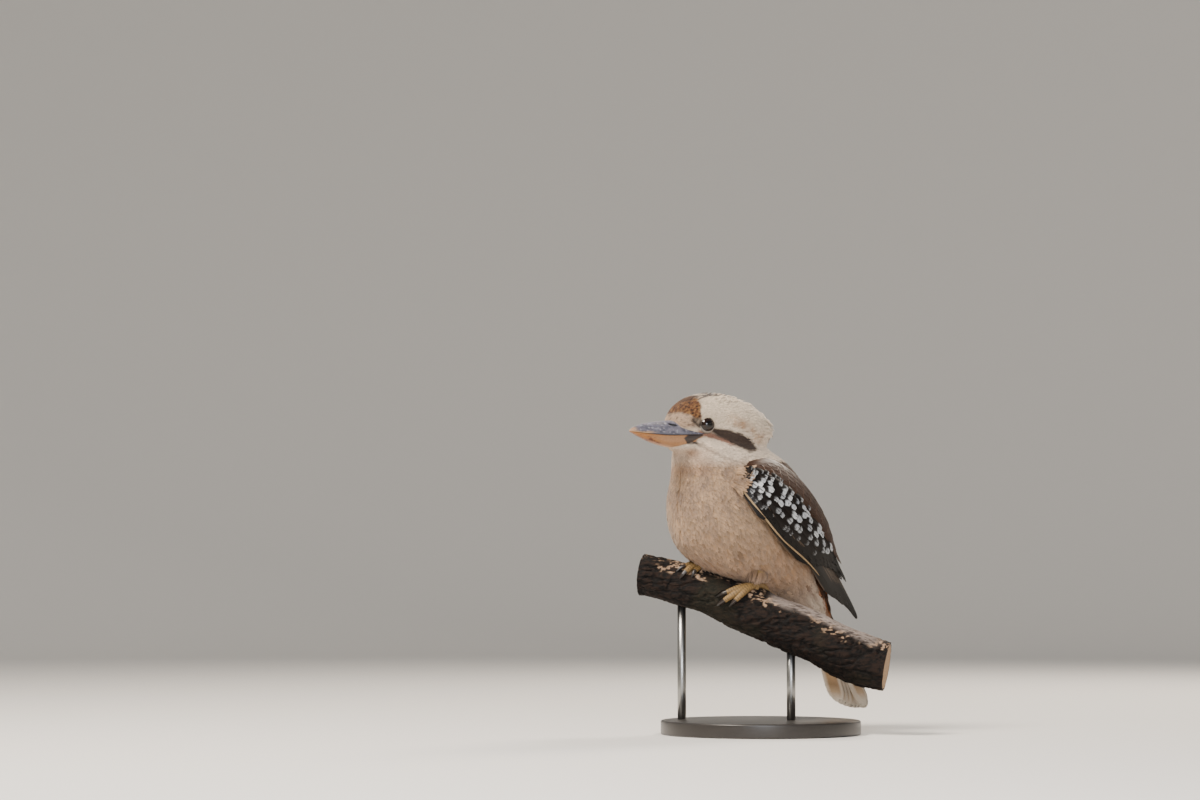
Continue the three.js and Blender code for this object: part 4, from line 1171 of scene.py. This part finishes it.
def wingVanes(draw):
    made = []
    for row in wingRows.values():
        for k in range(row["count"]):
            share = k / (row["count"] - 1)
            tip = lineAt(row["tip"], share)
            tip = (tip[0] + 0.006 * draw.normal(), tip[1] + 0.006 * draw.normal())
            points, quads, places = vaneMesh(wingSurface, lineAt(row["root"], share), tip, row, draw)
            made.append((points, quads, vaneColours("flight", places, draw), places))
    # the cream leading edge of the folded wing, three slim vanes laid end over end
    for start, tip in (((-.01, .06), (.26, .035)), ((.16, .045), (.46, .02)), ((.36, .03), (.68, .005))):
        look = {"width": 2.0, "lift": (1.9, 2.4), "tipShare": 0.6, "barb": 0.7, "roll": 0.9}
        points, quads, places = vaneMesh(wingSurface, start, tip, look, draw)
        made.append((points, quads, vaneColours("flight", places, draw, outer=0.85), places))
    for count, length, width, first, last, height, spot in covertRows:
        for k in range(count):
            share = k / (count - 1)
            u, v = lineAt((first, last), share)
            u += 0.010 * draw.normal()
            v += 0.016 * draw.normal()
            run = length * draw.uniform(0.9, 1.1) / wingLong
            slope = 0.15 + 0.7 * v + 0.12 * draw.normal()
            look = {"width": width * draw.uniform(0.85, 1.1), "lift": (height - 2.4,
                                                                       height + 0.4 * draw.normal()),
                    "tipShare": 0.30, "barb": 0.78, "camber": 0.12, "arch": 0.5, "fray": 0.05, "part": 0.35,
                    "stations": (0, 0.28, 0.56, 0.8, 1.0)}
            start = (max(u - run, -0.02), v + slope * run)
            points, quads, places = vaneMesh(wingSurface, start, (u, v), look, draw)
            colours = vaneColours("covert", places, draw, spot=spot * draw.uniform(0.8, 1.15))
            made.append((points, quads, colours, places))
    for count, length, width, first, last, height in scapularRows:
        for k in range(count):
            share = k / (count - 1)
            u, v = lineAt((first, last), share)
            run = length * draw.uniform(0.95, 1.05) / wingLong
            look = {"width": width, "lift": (height - 3.0, height), "tipShare": 0.30, "camber": 0.07,
                    "arch": 0.4,
                    "barb": 0.9, "roll": 0.06}
            start = (max(u - run, -0.02), v + 0.45 * run)
            points, quads, places = vaneMesh(wingSurface, start, (u, v), look, draw)
            made.append((points, quads, vaneColours("scapular", places, draw), places))
    return made


# Each vane has a cell of its own on the bake map, as its colours change along and across it.
def vanePiece(name, vanes, flipX):
    columns = math.ceil(math.sqrt(len(vanes) * 3))
    rows = math.ceil(len(vanes) / columns)
    points, quads, colours, uv, start = [], [], [], [], 0
    for k, (p, q, c, places) in enumerate(vanes):
        cell = np.array([k % columns / columns, k // columns / rows])
        inside = np.stack([(places[:, 1] * 0.46 + 0.5) / columns, (places[:, 0] * 0.94 + 0.03) / rows], 1)
        uv.append(cell + inside)
        points.append(p * [-1, 1, 1] if flipX else p)
        quads.append((q[:, ::-1] if flipX else q) + start)
        colours.append(c)
        start += len(p)
    return build(name, np.concatenate(points), [np.concatenate(quads)],
                 np.concatenate(colours), np.concatenate(uv))


# Closed vanes of keratin: satin, so that rows of barbs catch the light along each feather.
vaneFinish = finish("satin closed flight feather, rows of barbs, vertex tinted", {
    "roughness": 0.45, "mottle": [(0.0009, 0.12)], "Specular IOR Level": 0.2})


# The arm and hand under the vanes, so that no light passes between them.
def wingArm():
    u = np.linspace(0.0, 0.60, 40)
    v = np.linspace(0.08, 1.0, 24)
    uu, vv = np.meshgrid(u, v, indexing="ij")
    narrow = ease(uu.ravel(), 0.0, 0.06)
    vFlat = 0.5 + (vv.ravel() - 0.5) * (0.72 + 0.28 * narrow)
    outer, normal = wingSurface(uu.ravel(), vFlat)
    top = outer + normal * (-1.4 - 5 * (1 - narrow))[:, None]
    low = outer - normal * 8
    n = len(top)
    shell = gridFaces(40, 24)
    return np.concatenate([top, low]), np.concatenate([shell, shell[:, ::-1] + n])


for name, side in (("left", 1), ("right", -1)):
    vanes = wingVanes(np.random.default_rng(40 + side))
    armPoints, armQuads = wingArm()
    armPlaces = np.stack([np.full(len(armPoints), 0.5), np.zeros(len(armPoints)), np.zeros(len(armPoints))],
                         1)
    vanes.append((armPoints, armQuads, np.tile(wingPaint["covert"], (len(armPoints), 1)), armPlaces))
    piece = vanePiece(f"wing_feathers_{name}", vanes, side < 0)
    placePiece(piece, vaneFinish, (f"wing_{name}",))
    print(piece.name, 2 * len(piece.data.polygons), "triangles")

tailLook = {"pairs": 6, "width": 20, "ply": 1.05, "tipShare": 0.12}
tailVanes = []
tailDraw = np.random.default_rng(5)
for k in range(tailLook["pairs"]):
    for side in (1, -1):
        v = side * (k + 0.5) / tailLook["pairs"]
        down = -tailLook["ply"] * (k + (0.5 if side < 0 else 0))
        look = {"width": tailLook["width"], "lift": (down - 1.5, down - 0.4), "roll": 0.0,
                "tipShare": tailLook["tipShare"], "barb": 1.2, "camber": 0.05, "shaft": 0.06}
        points, quads, places = vaneMesh(
            tailSurface, (0.12, v * 0.35), (1 - 0.0025 * k * k, v * 0.74), look, tailDraw)
        outer = 0.9 if k >= 3 else 0.3
        tailVanes.append((points, quads, vaneColours("tail", places, tailDraw, outer=outer), places))
        # the pale underside is a sheet of its own, a little below
        below = unit(np.array([0, -(tailTip - tailRoot)[2], (tailTip - tailRoot)[1]])) * -0.35
        tailVanes.append((points + below, quads[:, ::-1],
                          vaneColours("tailUnder", places, tailDraw, outer=outer), places))
tail = vanePiece("tail_feathers", tailVanes, False)
placePiece(tail, vaneFinish, ("tail",))
print("tail:", 2 * len(tail.data.polygons), "triangles")


# Bill

billColours = {
    "slate": "#65636f",
    "slateDark": "#34353f",
    "wearAndRidgeHighlight": "#9c9aa2",
    "horn": "#b08c68",
    "lowerPale": "#99704d",
    "lowerOrange": "#99622f",
    "lowerBrown": "#5c2f18",
    "chevron": "#17151a",
    "nostril": "#0c0b0c",
}
billPaint = {key: hexColour(code) for key, code in billColours.items()}


def mouthLine(y):
    back = (y - billTipY) / (billGapeY - billTipY)
    return mouthZ + 1.2 * np.exp(-back * 14) - 1.4 * np.sin(np.pi * back) ** 2


def billRings(upper, along, around):
    row = between(billTable, np.linspace(0, len(billTable) - 1, along))
    y, ridge, keel, half = (row[:, k, None] for k in range(4))
    line = mouthLine(y) + (0.15 if upper else -0.15)
    a = np.linspace(0, np.pi, around)[None, :]
    sine = np.clip(np.sin(a), 0, 1)
    reach = (ridge if upper else keel) - line
    x = np.cos(a) * half * (1 if upper else 0.97)
    tall = sine ** (1.15 if upper else 0.8)
    z = line + reach * tall
    points = np.stack([x, y + 0 * x, z], -1)
    sideways = np.stack([np.cos(a) + 0 * x, 0 * x, np.sign(reach) * sine + 0 * x], -1)
    share = tall + 0 * x
    if upper:
        # a shallow groove along each side, and the slit of the nostril sunk at its rear end
        groove = 0.35 * np.exp(-(((share - 0.55) / 0.10) ** 2)) * ease(y, -104, -92) * (1 - ease(y, -60, -52))
        slit = 1.5 * np.exp(-(((y + 67.5) / 4.6) ** 4) - (((z - 145.6 + 0.16 * (y + 67)) / 0.95) ** 2))
        slit = slit * (np.abs(x) > 3)
        points = points - sideways * (groove + slit)[..., None]
    rough = fractal(points.reshape(-1, 3) * [1, 0.45, 1], 2.6, 3, 61 if upper else 62).reshape(along, around)
    points = points + sideways * (0.07 * rough * np.clip(half / 6, 0.1, 1))[..., None]
    return points, share


def billPiece(upper):
    along, around = (200, 72)
    rings, share = billRings(upper, along, around)
    inner = rings[:, ::-1][:, 1:-1]
    flatLine = mouthLine(inner[..., 1]) + (0.15 if upper else -0.15)
    inner = np.stack([inner[..., 0], inner[..., 1], flatLine], -1)[:, ::6]
    full = np.concatenate([rings, inner], 1)
    points, faces = tube(full, flip=upper)
    y, z, x = points[:, 1], points[:, 2], np.abs(points[:, 0])
    height = np.concatenate([np.concatenate([share, np.zeros(inner.shape[:2])], 1).ravel(), [0.5, 0.5]])
    speck = fractal(points * [1, 0.6, 1], 2.2, 3, 71)
    streak = noise(points * [1, 0.18, 1], 1.6, 72)
    if upper:
        colour = np.tile(billPaint["slate"], (len(points), 1))
        colour = blendTo(colour, billPaint["slateDark"], np.clip(0.25 + 0.6 * speck + 0.25 * streak, 0, 0.8))
        chips = fractal(points * [1, 0.7, 1], 1.3, 2, 76)
        colour = blendTo(colour, billPaint["wearAndRidgeHighlight"], ease(chips + 0.4 * streak, 0.30, 0.75) * 0.65)
        toTip = 1 - ease(y + 3 * noise(points, 6, 73), -112, -105)
        colour = blendTo(colour, billPaint["horn"], toTip * 0.8)
        low = (1 - ease(height + 0.12 * speck, 0.08, 0.30)) * (1 - ease(y, -98, -84))
        colour = blendTo(colour, billPaint["horn"], low * 0.85)
        # a painted highlight along the ridge, in the pale worn tone
        colour = blendTo(colour, billPaint["wearAndRidgeHighlight"], ease(height, 0.93, 1.0) * 0.5)
        colour = blendTo(colour, billPaint["slateDark"], (1 - ease(height, 0.02, 0.10))
                         * ease(y, -96, -88) * 0.6)
        slit = np.exp(-(((y + 67.5) / 4.8) ** 4) - (((z - 145.6 + 0.16 * (y + 67)) / 1.0) ** 2)) * (x > 3)
        colour = blendTo(colour, billPaint["nostril"], ease(slit, 0.25, 0.7))
    else:
        colour = np.tile(billPaint["lowerPale"], (len(points), 1))
        toTip = 1 - ease(y + 4 * noise(points, 7, 74), -100, -74)
        colour = blendTo(colour, billPaint["lowerOrange"], toTip * 0.9)
        mottled = ease(speck + 0.5 * noise(points, 4.5, 75), 0.05, 0.6) * (1 - ease(np.abs(y + 93), 8, 17))
        colour = blendTo(colour, billPaint["lowerBrown"], mottled * ease(height, 0.25, 0.7))
        colour = blendTo(colour, billPaint["lowerBrown"], ease(height, 0.75, 1.0)
                         * (1 - ease(y, -92, -70)) * 0.5)
        front = -59.5 + 1.2 * np.abs(z - 133.2)
        notch = -49.0 + 1.6 * np.abs(z - 131.0)
        chevron = ease(y - front, -0.8, 0.8) * (1 - ease(y - notch, -0.8, 0.8) * 0.9)
        colour = blendTo(colour, billPaint["chevron"], chevron * 0.95)
    return points, faces, colour * (1 + 0.05 * streak)[:, None]


# Horn sheath: worn satin keratin, with fine scratches that dull the shine.
hornFinish = finish("worn satin horn sheath, vertex tinted", {
    "roughness": 0.42, "ior": 1.54, "mottle": [(0.0016, 0.10)], "relief": (0.0006, 0.00012),
    "Subsurface Weight": 0.05, "Subsurface Scale": 0.002})
for name, upper, slotName in (("bill_upper_horn", True, "bill_horn"),
                              ("bill_lower_horn", False, "pale_horn")):
    points, faces, colour = billPiece(upper)
    piece = build(name, points, faces, colour)
    placePiece(piece, hornFinish, ("bill_upper" if upper else "bill_lower",))
print("bill done")


# Eyes and lids

eyeLook = {"radius": 7.6, "pupil": 24, "iris": 40, "iridColour": "#1c0e07", "pupilColour": "#030202",
           "rimColour": "#0e0a09", "lidColour": "#857b71", "lidDark": "#3a302a"}


def eyePoints(side):
    a = np.linspace(0.0, np.pi, 60)[:, None]
    b = np.linspace(0, 2 * np.pi, 72, endpoint=False)[None, :]
    out = eyeOut * [side, 1, 1]
    right = unit(np.cross(out, [0, 0, 1.0]))
    up = np.cross(right, out)
    bulge = 0.35 * np.exp(-((np.degrees(a) / 34) ** 2))
    ball = (out * np.cos(a)[..., None] + (right * np.cos(b)[..., None] + up * np.sin(b)[..., None])
            * np.sin(a)[..., None]) * (eyeLook["radius"] + bulge)[..., None]
    return eyeInLayout * [side, 1, 1] + ball, np.degrees(a) + 0 * b, (out, right, up)


# A glass model eye over a near-black iris: polished, so it holds one soft highlight near its middle.
eyeFinish = finish("polished glass eye, dark iris", {
    "roughness": 0.03, "ior": 1.5})
# Thin bare skin of the lids: pale grey, finely creased, a little waxy.
lidFinish = finish("bare lid skin, creased, vertex tinted", {
    "roughness": 0.55, "mottle": [(0.0012, 0.12)], "relief": (0.0004, 0.00015), "Subsurface Weight": 0.08,
    "Subsurface Scale": 0.001})


def lidMesh(side):
    _, _, (out, right, up) = eyePoints(side)
    theta = np.linspace(0, 2 * np.pi, 120, endpoint=False)[None, :]
    profile = np.array([[52, 7.30], [54.5, 7.70], [56.5, 8.05], [59, 8.22], [61.5, 8.22], [65, 8.15],
                        [71, 8.30], [79, 8.60], [92, 8.9]])
    angle = profile[:, 0, None] + 1.6 * np.cos(2 * theta) * (1 - np.arange(9)[:, None] / 8)
    crease = 0.10 * np.sin(31 * theta + 2 * np.sin(3 * theta)) * np.array([0, .2, .6, 1, .5, 1, .8, .4,
                                                                           0])[:, None]
    reach = profile[:, 1, None] + crease
    a = np.radians(angle)
    ring = (out * np.cos(a)[..., None] + (right * np.cos(theta)[..., None] + up * np.sin(theta)[..., None])
            * np.sin(a)[..., None]) * reach[..., None]
    points = (eyeInLayout * [side, 1, 1] + ring).reshape(-1, 3)
    step = np.repeat(np.arange(9), 120)
    colour = np.tile(hexColour(eyeLook["lidColour"]), (len(points), 1))
    colour = blendTo(colour, hexColour(eyeLook["rimColour"]), step <= 1)
    front = np.tile(0.5 + 0.5 * np.cos(theta.ravel() - (np.pi * 0.72 if side > 0 else np.pi * 0.28)), 9)
    shaded = np.clip(ease(step, 4.5, 7) + 0.75 * ease(front, 0.55, 1), 0, 1)
    colour = blendTo(colour, hexColour(eyeLook["lidDark"]), shaded * 0.85)
    faces = gridFaces(9, 120, True)
    return points, faces if side < 0 else faces[:, ::-1], colour


for name, side in (("left", 1), ("right", -1)):
    grid, angle, _ = eyePoints(side)
    angle = angle.ravel()
    iris = hexColour(eyeLook["iridColour"])
    colour = np.tile(hexColour(eyeLook["pupilColour"]), (len(angle), 1))
    colour = blendTo(colour, iris, ease(angle, eyeLook["pupil"] - 1, eyeLook["pupil"] + 1))
    colour = blendTo(colour, hexColour(eyeLook["rimColour"]), ease(angle, eyeLook["iris"] + 4,
                                                                   eyeLook["iris"] + 8))
    quads = gridFaces(60, 72, True)
    eye = build(f"eyeball_{name}", grid.reshape(-1, 3), [quads if side < 0 else quads[:, ::-1]], colour)
    placePiece(eye, eyeFinish, (f"eye_{name}",))
    points, faces, colour = lidMesh(side)
    lid = build(f"lids_{name}", points, [faces], colour)
    placePiece(lid, lidFinish)
print("eyes done")


# Legs, feet and claws

footColours = {"scute": "#7d6238", "groove": "#352616", "claw": "#241c18", "clawTip": "#0d0a08"}
footPaint = {key: hexColour(code) for key, code in footColours.items()}
# Horny scutes over skin: dull yellow with darker creases between them.
scaleFinish = finish("dull horny scutes, vertex tinted", {
    "roughness": 0.58, "mottle": [(0.0015, 0.14)], "relief": (0.0005, 0.0001)})
# Claw horn, worn smooth: darker and glossier than the toes.
clawFinish = finish("dark polished claw horn, vertex tinted", {
    "roughness": 0.32, "ior": 1.54, "mottle": [(0.002, 0.1)]})


# A toe or leg as a bar with scutes along its upper side and small grains below.
def scaledBar(points, radii, steps, scute, outward):
    rings, ring, a, s = barRings(points, radii, steps, 36, outward)
    line = rings.mean(1)
    run = np.concatenate([[0], np.cumsum(np.linalg.norm(np.diff(line, axis=0), axis=1))])[:, None]
    top = ease(np.cos(a), -0.1, 0.5)[None, :]
    phase = run / scute + 0.12 * np.sin(a)[None, :]
    plate = np.abs(np.sin(np.pi * phase)) ** 0.35
    grains = noise(rings.reshape(-1, 3), 0.9, 81).reshape(rings.shape[:2])
    rise = 0.22 * (plate - 1) * top + 0.10 * grains * (1 - top)
    moved = rings + ring * rise[..., None]
    pts, faces = tube(moved)
    shade = np.concatenate([(plate * top + (0.75 + 0.25 * grains) * (1 - top)).ravel(), [0.8, 0.8]])
    colour = blendTo(np.tile(footPaint["groove"], (len(pts), 1)), footPaint["scute"], ease(shade, 0.35, 0.85))
    return pts, faces, colour


def clawBar(side, toe):
    slant, reach, radius = toes[toe]
    slant += 4 if side < 0 else 0
    t, angle = footPlace(side)
    first = toePoints(side, toe, [0.98])[0]
    tipShare = 1 + (0.4 if reach > 0 else 0.45) / abs(reach) / 1.1
    middle = toePoints(side, toe, [1.2])[0] * 0.96 + overPerch(t, angle, 20)[0] * 0.04
    tip = overPerch(t + slant * abs(reach * tipShare), angle + reach * tipShare, 0.9)[0]
    rings, _, _, s = barRings(np.array([first, middle, tip]), [radius * .74, radius * .58, 0.3], 24, 20)
    pts, faces = tube(rings)
    share = np.concatenate([np.repeat(s / 2, 20), [0, 1]])
    return pts, faces, blendTo(np.tile(footPaint["claw"], (len(pts), 1)), footPaint["clawTip"],
                               ease(share, 0.3, 1))


def mergedParts(parts):
    points, faces = joined([(p, f) for p, f, _ in parts])
    return points, faces, np.concatenate([c for _, _, c in parts])


for name, side in (("left", 1), ("right", -1)):
    t, angle = footPlace(side)
    parts = []
    for toe, (slant, reach, radius) in toes.items():
        share = np.array([0, 0.33, 0.66, 1.0])
        away = overPerch(t, angle, 30)[0] - overPerch(t, angle, 0)[0]
        swell = [1.15, 1.0, 1.04, 0.8]
        parts.append(scaledBar(toePoints(side, toe, share), [radius * w for w in swell], 60, 2.3, away))
    ankle = np.array([overPerch(t, angle, h)[0] for h in (0.5, 3, 9, 18)])
    foot = build(f"toes_{name}", *mergedParts(parts))
    placePiece(foot, scaleFinish, (f"foot_{name}",))
    leg = scaledBar(ankle, [4.6, 3.8, 3.0, 3.1], 50, 2.6, [0, -1, 0])
    legPiece = build(f"shank_{name}", *leg)
    placePiece(legPiece, scaleFinish, (f"leg_{name}",))
    for toe in toes:
        points, faces, colour = clawBar(side, toe)
        claw = build(f"claw_horn_{name}_{toe}", points, faces, colour)
        placePiece(claw, clawFinish, (f"claw_{name}_{toe}",))
print("feet done")


# Branch

barkLook = {
    "along": 340, "around": 216,
    "plate": 9.0,          # mm across the larger plates of bark
    "relief": 1.5,         # mm from crack to crest
}
barkColours = {"dark": "#090605", "brown": "#1e130d", "fleck": "#b3957a", "bare": "#837770",
               "bareDark": "#453c38",
               "moss": "#26261a", "wood": "#a07f5b", "woodRing": "#6e5036"}
barkPaint = {key: hexColour(code) for key, code in barkColours.items()}


def branchMesh():
    along, around = (barkLook["along"], barkLook["around"])
    t = np.linspace(*perchEnds, along)
    middle, radius, up, ahead = perchFrame(t)
    a = np.linspace(0, 2 * np.pi, around, endpoint=False)
    knots = 1 + 0.03 * np.sin(3 * a[None, :] + t[:, None] / 17) + 0.018 * np.sin(2 * a[None, :] - t[:,
                                                                                                    None] / 9)
    out = perchAcross[None, None] * np.cos(a)[None, :, None] + up[:, None] * np.sin(a)[None, :, None]
    rings = middle[:, None] + out * (radius[:, None] * knots)[..., None]
    flat = rings.reshape(-1, 3)
    # noise stretched along the grain of the bark
    local = np.stack([np.repeat(t, around) * 0.45, flat @ perchAcross, flat[:, 2]], 1)
    crack = np.abs(fractal(local, barkLook["plate"], 4, 91))
    pits = np.abs(fractal(local * [1.6, 1, 1], 3.6, 3, 93))
    grain = fractal(local * [1.3, 1.6, 1.6], 2.2, 3, 95)
    topness = np.tile(np.sin(a), along)
    bare = ease(topness, 0.60, 0.85) * ease(np.repeat(t, around) + 8 * noise(flat, 14, 96), 34, 46)
    bare = bare * (1 - ease(np.repeat(t, around), 128, 146)) * ease(noise(flat, 16, 97), -0.75, -0.35)
    rise = barkLook["relief"] * (ease(crack, 0.02, 0.32) - 0.75) + 0.45 * (ease(pits, 0.0,
                                                                                0.3) - 0.6) + 0.28 * grain
    rise = rise * (1 - 0.8 * bare) - 0.35 * bare
    moved = flat + out.reshape(-1, 3) * rise[:, None]
    colour = blendTo(np.tile(barkPaint["dark"], (len(flat), 1)), barkPaint["brown"],
                     ease(pits + 0.4 * crack + 0.35 * grain, 0.2, 0.8))
    fleckNoise = fractal(local * [1.5, 1.1, 1.1], 2.5, 3, 99)
    fleckZone = ease(topness, 0.1, 0.85) * (0.3 + 0.7 * ease(noise(flat, 18, 98), -0.2, 0.4))
    fleck = ease(fleckNoise, 0.24, 0.34) * ease(fleckZone + 0.25 * noise(flat, 6, 100), 0.25, 0.6)
    tone = np.clip(0.75 + 0.35 * noise(flat, 3, 103), 0, 1)
    colour = blendTo(colour, barkPaint["fleck"] * 0.9, fleck * tone)
    strip = blendTo(np.tile(barkPaint["bare"], (len(flat), 1)), barkPaint["bareDark"],
                    ease(noise(local * [0.4, 2.4, 2.4], 3.0, 101), 0.0, 0.7))
    colour = blendTo(colour, strip, bare * 0.9)
    colour = blendTo(colour, barkPaint["moss"], ease(noise(flat, 26, 102), 0.25, 0.7) * 0.35 * (1 - bare))
    return moved.reshape(along, around, 3), colour, ahead


# Rough dark bark, matt, with weathered pale flecks where its skin has flaked.
barkFinish = finish("rough flaking bark, vertex tinted", {
    "roughness": 0.85, "mottle": [(0.004, 0.18), (0.0011, 0.15)], "relief": (0.0009, 0.0004),
    "Specular IOR Level": 0.25})
# Sawn across the grain and left bare: pale, matt, with growth rings.
woodFinish = finish("fresh-sawn end grain, vertex tinted", {
    "roughness": 0.75, "mottle": [(0.003, 0.10)], "relief": (0.0006, 0.00015)})
rings, barkTint, ahead = branchMesh()
count, around = rings.shape[:2]
branch = build("branch_bark", rings.reshape(-1, 3), [gridFaces(count, around, True)], barkTint)
placePiece(branch, barkFinish, ("perch",))
for name, row, sign in (("right", 0, -1), ("left", -1, 1)):
    centre = rings[row].mean(0)
    layers = np.linspace(0, 1, 26)[:, None, None]
    disc = centre + (rings[row] - centre)[None] * layers
    disc = disc + ahead[row] * sign * 0.05 * (layers > 0.97)
    grow = (layers + 0 * disc[..., :1]).ravel()
    flat = disc.reshape(-1, 3)
    ringLine = ease(np.sin(grow * 44 + 2.5 * noise(flat, 12, 110)), 0.2, 0.9)
    colour = blendTo(np.tile(barkPaint["wood"], (len(flat), 1)), barkPaint["woodRing"], ringLine * 0.6)
    colour = blendTo(colour, barkPaint["dark"], ease(grow, 0.90, 0.94))
    faces = gridFaces(26, around, True)
    end = build(f"branch_end_{name}", flat, [faces if sign > 0 else faces[:, ::-1]], colour)
    placePiece(end, woodFinish)
print("branch done")


# Stand

standLook = {"baseRadius": 92, "baseHeight": 13, "bevel": 1.6, "rodRadius": 4, "baseCentre": (28, 22),
             "baseTop": -124.0, "baseColour": "#2a2623",
             "rodPlaces": (-38, 64),  # along the branch, as in the solids
             "rodSunk": 8}            # how far a rod ends below the middle of the branch
# Black-stained hardwood, sealed with a satin lacquer: soft reflections, faint grain.
standFinish = finish("black-stained hardwood, satin lacquer", {
    "colour": standLook["baseColour"], "roughness": 0.38, "mottle": [(0.02, 0.12), (0.002, 0.08)],
    "Coat Weight": 0.3, "Coat Roughness": 0.25})
# Drawn steel rubbed with fine abrasive: a long soft highlight down each rod.
rodFinish = finish("brushed steel rod", {
    "colour": "#9a9a98", "roughness": 0.32, "metallic": 1.0, "mottle": [(0.001, 0.05)]})


def lathe(outline, centre, around):
    a = np.linspace(0, 2 * np.pi, around, endpoint=False)
    r, z = np.array(outline).T
    rings = np.stack([centre[0] + r[:, None] * np.cos(a), centre[1] + r[:, None] * np.sin(a),
                      z[:, None] + 0 * a[None, :]], -1)
    return tube(rings)


def baseOutline():
    r, top, low, bevel = (standLook["baseRadius"], standLook["baseTop"],
                          standLook["baseTop"] - standLook["baseHeight"], standLook["bevel"])
    arc = np.linspace(0, np.pi / 2, 7)
    lower = [(r - bevel + bevel * math.sin(a), low + bevel - bevel * math.cos(a)) for a in arc]
    upper = [(r - bevel + bevel * math.cos(a), top - bevel + bevel * math.sin(a)) for a in arc]
    return [(1, low), *lower, *upper, (1, top)]


points, faces = lathe(baseOutline(), standLook["baseCentre"], 160)
placePiece(build("stand_base_wood", points, faces), standFinish, ("stand_base",))
for k, t in enumerate(standLook["rodPlaces"]):
    middle = perchAt(t)[0]
    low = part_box(f"stand_rod_{k + 1}")[0]
    lowZ = low[2] * 1000 - layoutOrigin[2]
    r, topZ = standLook["rodRadius"], middle[0, 2] - standLook["rodSunk"]
    outline = [(0.4, lowZ), (r, lowZ), (r, lowZ + 30), (r, topZ), (0.4, topZ)]
    points, faces = lathe(outline, middle[0, :2], 48)
    rod = build(f"stand_rod_steel_{k + 1}", points, faces)
    placePiece(rod, rodFinish, (f"stand_rod_{k + 1}",))
print("stand done")


# Floor, light and camera

stageLook = {
    "floor": "#e8e5e0",
    "flat": 3.4,           # metres from the bird to where the floor begins to rise
    "rise": (1.8, 2.8),    # how far out and how high it curves up
    "sky": "#eef0f3",
    "skyStrength": 0.34,
}


# A floor that curves up all round like a studio cove, so that no hard line crosses behind the bird.
def cove():
    low = np.linspace(0.02, stageLook["flat"], 12)
    a = np.linspace(0, np.pi / 2, 24)[1:]
    out, high = stageLook["rise"]
    r = np.concatenate([low, stageLook["flat"] + out * np.sin(a)]) * 1000
    z = np.concatenate([0 * low, high * (1 - np.cos(a))]) * 1000
    b = np.linspace(0, 2 * np.pi, 120, endpoint=False)
    points = np.stack([r[:, None] * np.cos(b), r[:, None] * np.sin(b), z[:, None] + 0 * b[None, :]], -1)
    return points.reshape(-1, 3) - layoutOrigin, [gridFaces(len(r), 120, True), np.arange(120)[None, ::-1]]


# Matt painted board, one plain pale tone, so the eye stays on the bird.
floorFinish = finish("matt pale painted floor", {"colour": stageLook["floor"], "roughness": 0.95})
floor = build("floor", *cove())
floor.data.materials.append(floorFinish)

world = bpy.data.worlds.new("soft studio")
world.use_nodes = True
bpy.context.scene.world = world
sky = world.node_tree.nodes["Background"]
sky.inputs["Color"].default_value = (*hexColour(stageLook["sky"]), 1)
sky.inputs["Strength"].default_value = stageLook["skyStrength"]


cameraLook = {"azimuth": 50, "elevation": -4, "distance": 2600, "pxPerMm": 1.08,
              "feetAt": (722, 585), "frame": (1200, 800)}
azimuth, elevation = math.radians(cameraLook["azimuth"]), math.radians(cameraLook["elevation"])
toCamera = np.array([math.sin(azimuth) * math.cos(elevation), -math.cos(azimuth) * math.cos(elevation),
                     math.sin(elevation)])
toRight = np.array([math.cos(azimuth), math.sin(azimuth), 0])
toTop = np.cross(toCamera, toRight)


def placeCamera():
    across = (cameraLook["feetAt"][0] - cameraLook["frame"][0] / 2) / cameraLook["pxPerMm"]
    down = (cameraLook["feetAt"][1] - cameraLook["frame"][1] / 2) / cameraLook["pxPerMm"]
    place = toCamera * cameraLook["distance"] - toRight * across + toTop * down
    data = bpy.data.cameras.new("camera")
    data.sensor_width = 36
    data.lens = 36 * cameraLook["pxPerMm"] * cameraLook["distance"] / cameraLook["frame"][0]
    data.clip_start, data.clip_end = 0.05, 100
    camera = bpy.data.objects.new("camera", data)
    camera.matrix_world = Matrix([[toRight[k], toTop[k], toCamera[k], 0] for k in range(3)] + [[0, 0, 0, 1]])
    camera.location = Vector(rowPoints([place])[0])
    bpy.context.scene.collection.objects.link(camera)
    bpy.context.scene.camera = camera


# Soft discs of light: place is metres towards the camera, to its right and up, from the middle of the bird.
lights = {
    "key": {"place": (0.9, -1.15, 1.75), "size": 0.8, "power": 88, "colour": "#fff4e6"},
    "eye light": {"place": (1.9, 0.05, 0.62), "size": 0.8, "power": 22, "colour": "#eef3fb"},
    "rim": {"place": (-1.4, 0.9, 1.3), "size": 0.7, "power": 40, "colour": "#fff1e0"},
}


def placeLights():
    aim = rowPoints([[0, 20, 60]])[0]
    for name, look in lights.items():
        near, across, high = look["place"]
        place = aim + near * toCamera + across * toRight + [0, 0, high]
        data = bpy.data.lights.new(name, "AREA")
        data.shape = "DISK"
        data.size, data.energy, data.color = look["size"], look["power"], tuple(hexColour(look["colour"]))
        light = bpy.data.objects.new(name, data)
        light.location = Vector(place)
        light.rotation_mode = "QUATERNION"
        light.rotation_quaternion = Vector(aim - place).to_track_quat("-Z", "Y")
        bpy.context.scene.collection.objects.link(light)


placeLights()
placeCamera()
print("floor, light and camera done")
